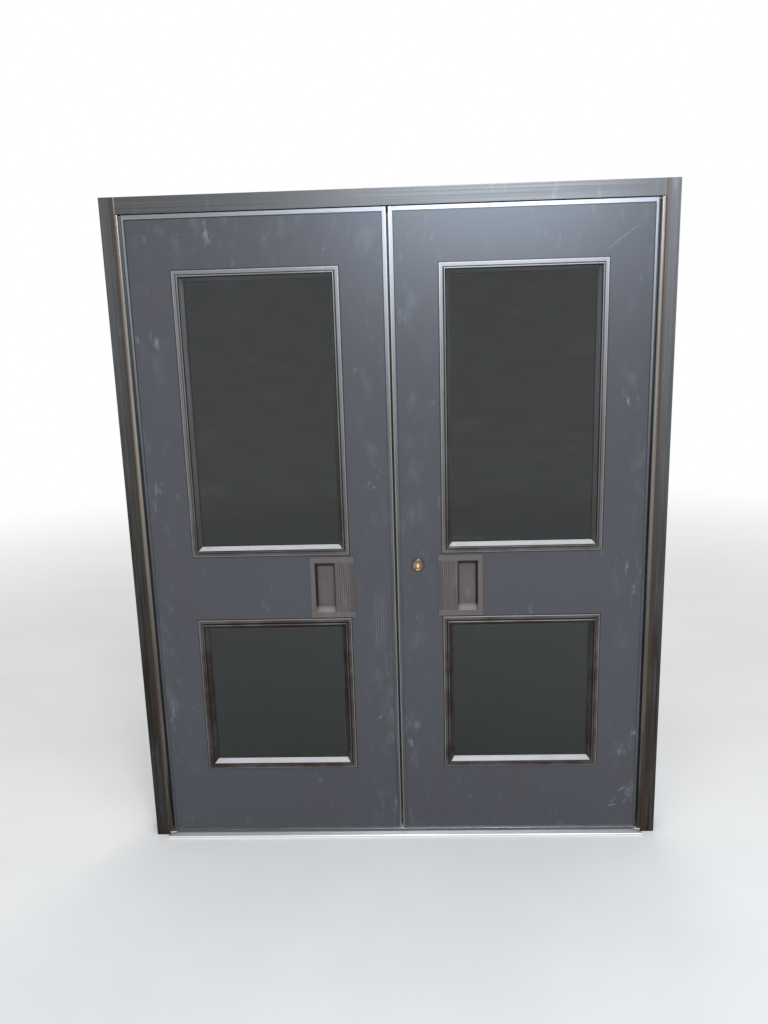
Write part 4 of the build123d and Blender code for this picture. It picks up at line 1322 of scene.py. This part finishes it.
@dataclass
class Studio:
    """Floor, lamps, background and the camera at the photograph's place."""

    camera_at: tuple[float, float, float] = (0.0590, -2.6366, 1.7117)
    yaw_deg: float = 2.081
    pitch_deg: float = -11.692
    roll_deg: float = -1.640
    focal_px: float = 800.0
    image_px: int = 1024
    sensor_mm: float = 36.0
    view_m: float = 200.0
    floor_m: float = 60.0
    floor_blots: Blots = Blots((700, 700, 700), 1.0, 4, (0.3, 0.7))
    fade_m: Span = (1.5, 8.0)
    soft_light: float = 0.62
    lamps: tuple[Lamp, ...] = (
        Lamp("key", (0.75, -4.2, 3.2), (0, 0, 1.4), (2.0, 1.2), 155, "#E8F0FF"),
        Lamp("top", (0.2, -1.25, 4.6), (0, 0, 1.0), (1.4, 1.4), 35),
        Lamp("back", (0.5, 3.0, 4.8), (0, 0, 1.1), (1.8, 1.4), 42))

    def add_floor(self) -> None:
        """Pale floor that keeps the shadow and turns to the white background further off."""
        bpy.ops.mesh.primitive_grid_add(x_subdivisions=2, y_subdivisions=2, size=self.floor_m)
        floor = bpy.context.active_object
        floor.name = "studio_floor"
        surface = Surface("studio_floor_paint")
        surface.connect(surface.shader, {
            "Base Color": surface.lay("#DFDFDD", "#E4E4E2", surface.blots(self.floor_blots)),
            "Roughness": 0.9})
        distance = surface.add_node("ShaderNodeVectorMath", {"operation": "LENGTH"},
                                    {0: surface.place})
        share = surface.fade(distance.outputs["Value"], self.fade_m, (0.0, 1.0),
                             surface.seen_directly())
        glow = surface.add_node("ShaderNodeEmission", sockets={0: (1, 1, 1, 1), 1: 1.0})
        mixed = surface.add_node("ShaderNodeMixShader", sockets={
            0: share, 1: surface.shader.outputs[0], 2: glow.outputs[0]})
        surface.connect(surface.tree.nodes["Material Output"], {"Surface": mixed.outputs[0]})
        floor.data.materials.append(surface.material)

    def add_world(self) -> None:
        """Soft light all round, with a white background for the camera, metal and glass."""
        world = bpy.data.worlds.new("studio_world")
        bpy.context.scene.world = world
        world.use_nodes = True
        world.node_tree.nodes.clear()
        canvas = Canvas(world.node_tree)
        background = canvas.add_node("ShaderNodeBackground", sockets={
            0: (1, 1, 1, 1),
            1: canvas.fade(canvas.seen_directly(), (0.0, 1.0), (self.soft_light, 1.0))})
        canvas.add_node("ShaderNodeOutputWorld", sockets={0: background.outputs[0]})

    def add_camera(self) -> None:
        """Camera where the photograph was taken from, solved from the door's own corners."""
        data = bpy.data.cameras.new("camera")
        data.sensor_width = self.sensor_mm
        data.lens = self.sensor_mm * self.focal_px / self.image_px
        data.clip_end = self.view_m
        camera = bpy.data.objects.new("camera", data)
        level = Matrix.Rotation(math.pi / 2, 4, "X")
        yaw = Matrix.Rotation(math.radians(self.yaw_deg), 4, "Z")
        pitch = Matrix.Rotation(math.radians(self.pitch_deg), 4, "X")
        roll = Matrix.Rotation(math.radians(self.roll_deg), 4, "Z")
        camera.matrix_world = Matrix.Translation(self.camera_at) @ yaw @ level @ pitch @ roll
        bpy.context.scene.collection.objects.link(camera)
        bpy.context.scene.camera = camera

    def build(self) -> None:
        """Make the studio."""
        self.add_floor()
        for lamp in self.lamps:
            lamp.build()
        self.add_world()
        self.add_camera()
        bpy.context.scene.view_settings.view_transform = "Standard"
        LOG.info("studio done")


def main() -> None:
    """Build the studio and every sub-assembly."""
    logging.basicConfig(level=logging.INFO, format="%(name)s: %(message)s")
    Studio().build()
    FrameWork().build()
    for side in Side:
        Hinge(side).build()
        Leaf(side).build()
        ExitDevice(side).build()
    RimCylinder().build()


if __name__ == "__main__":
    main()
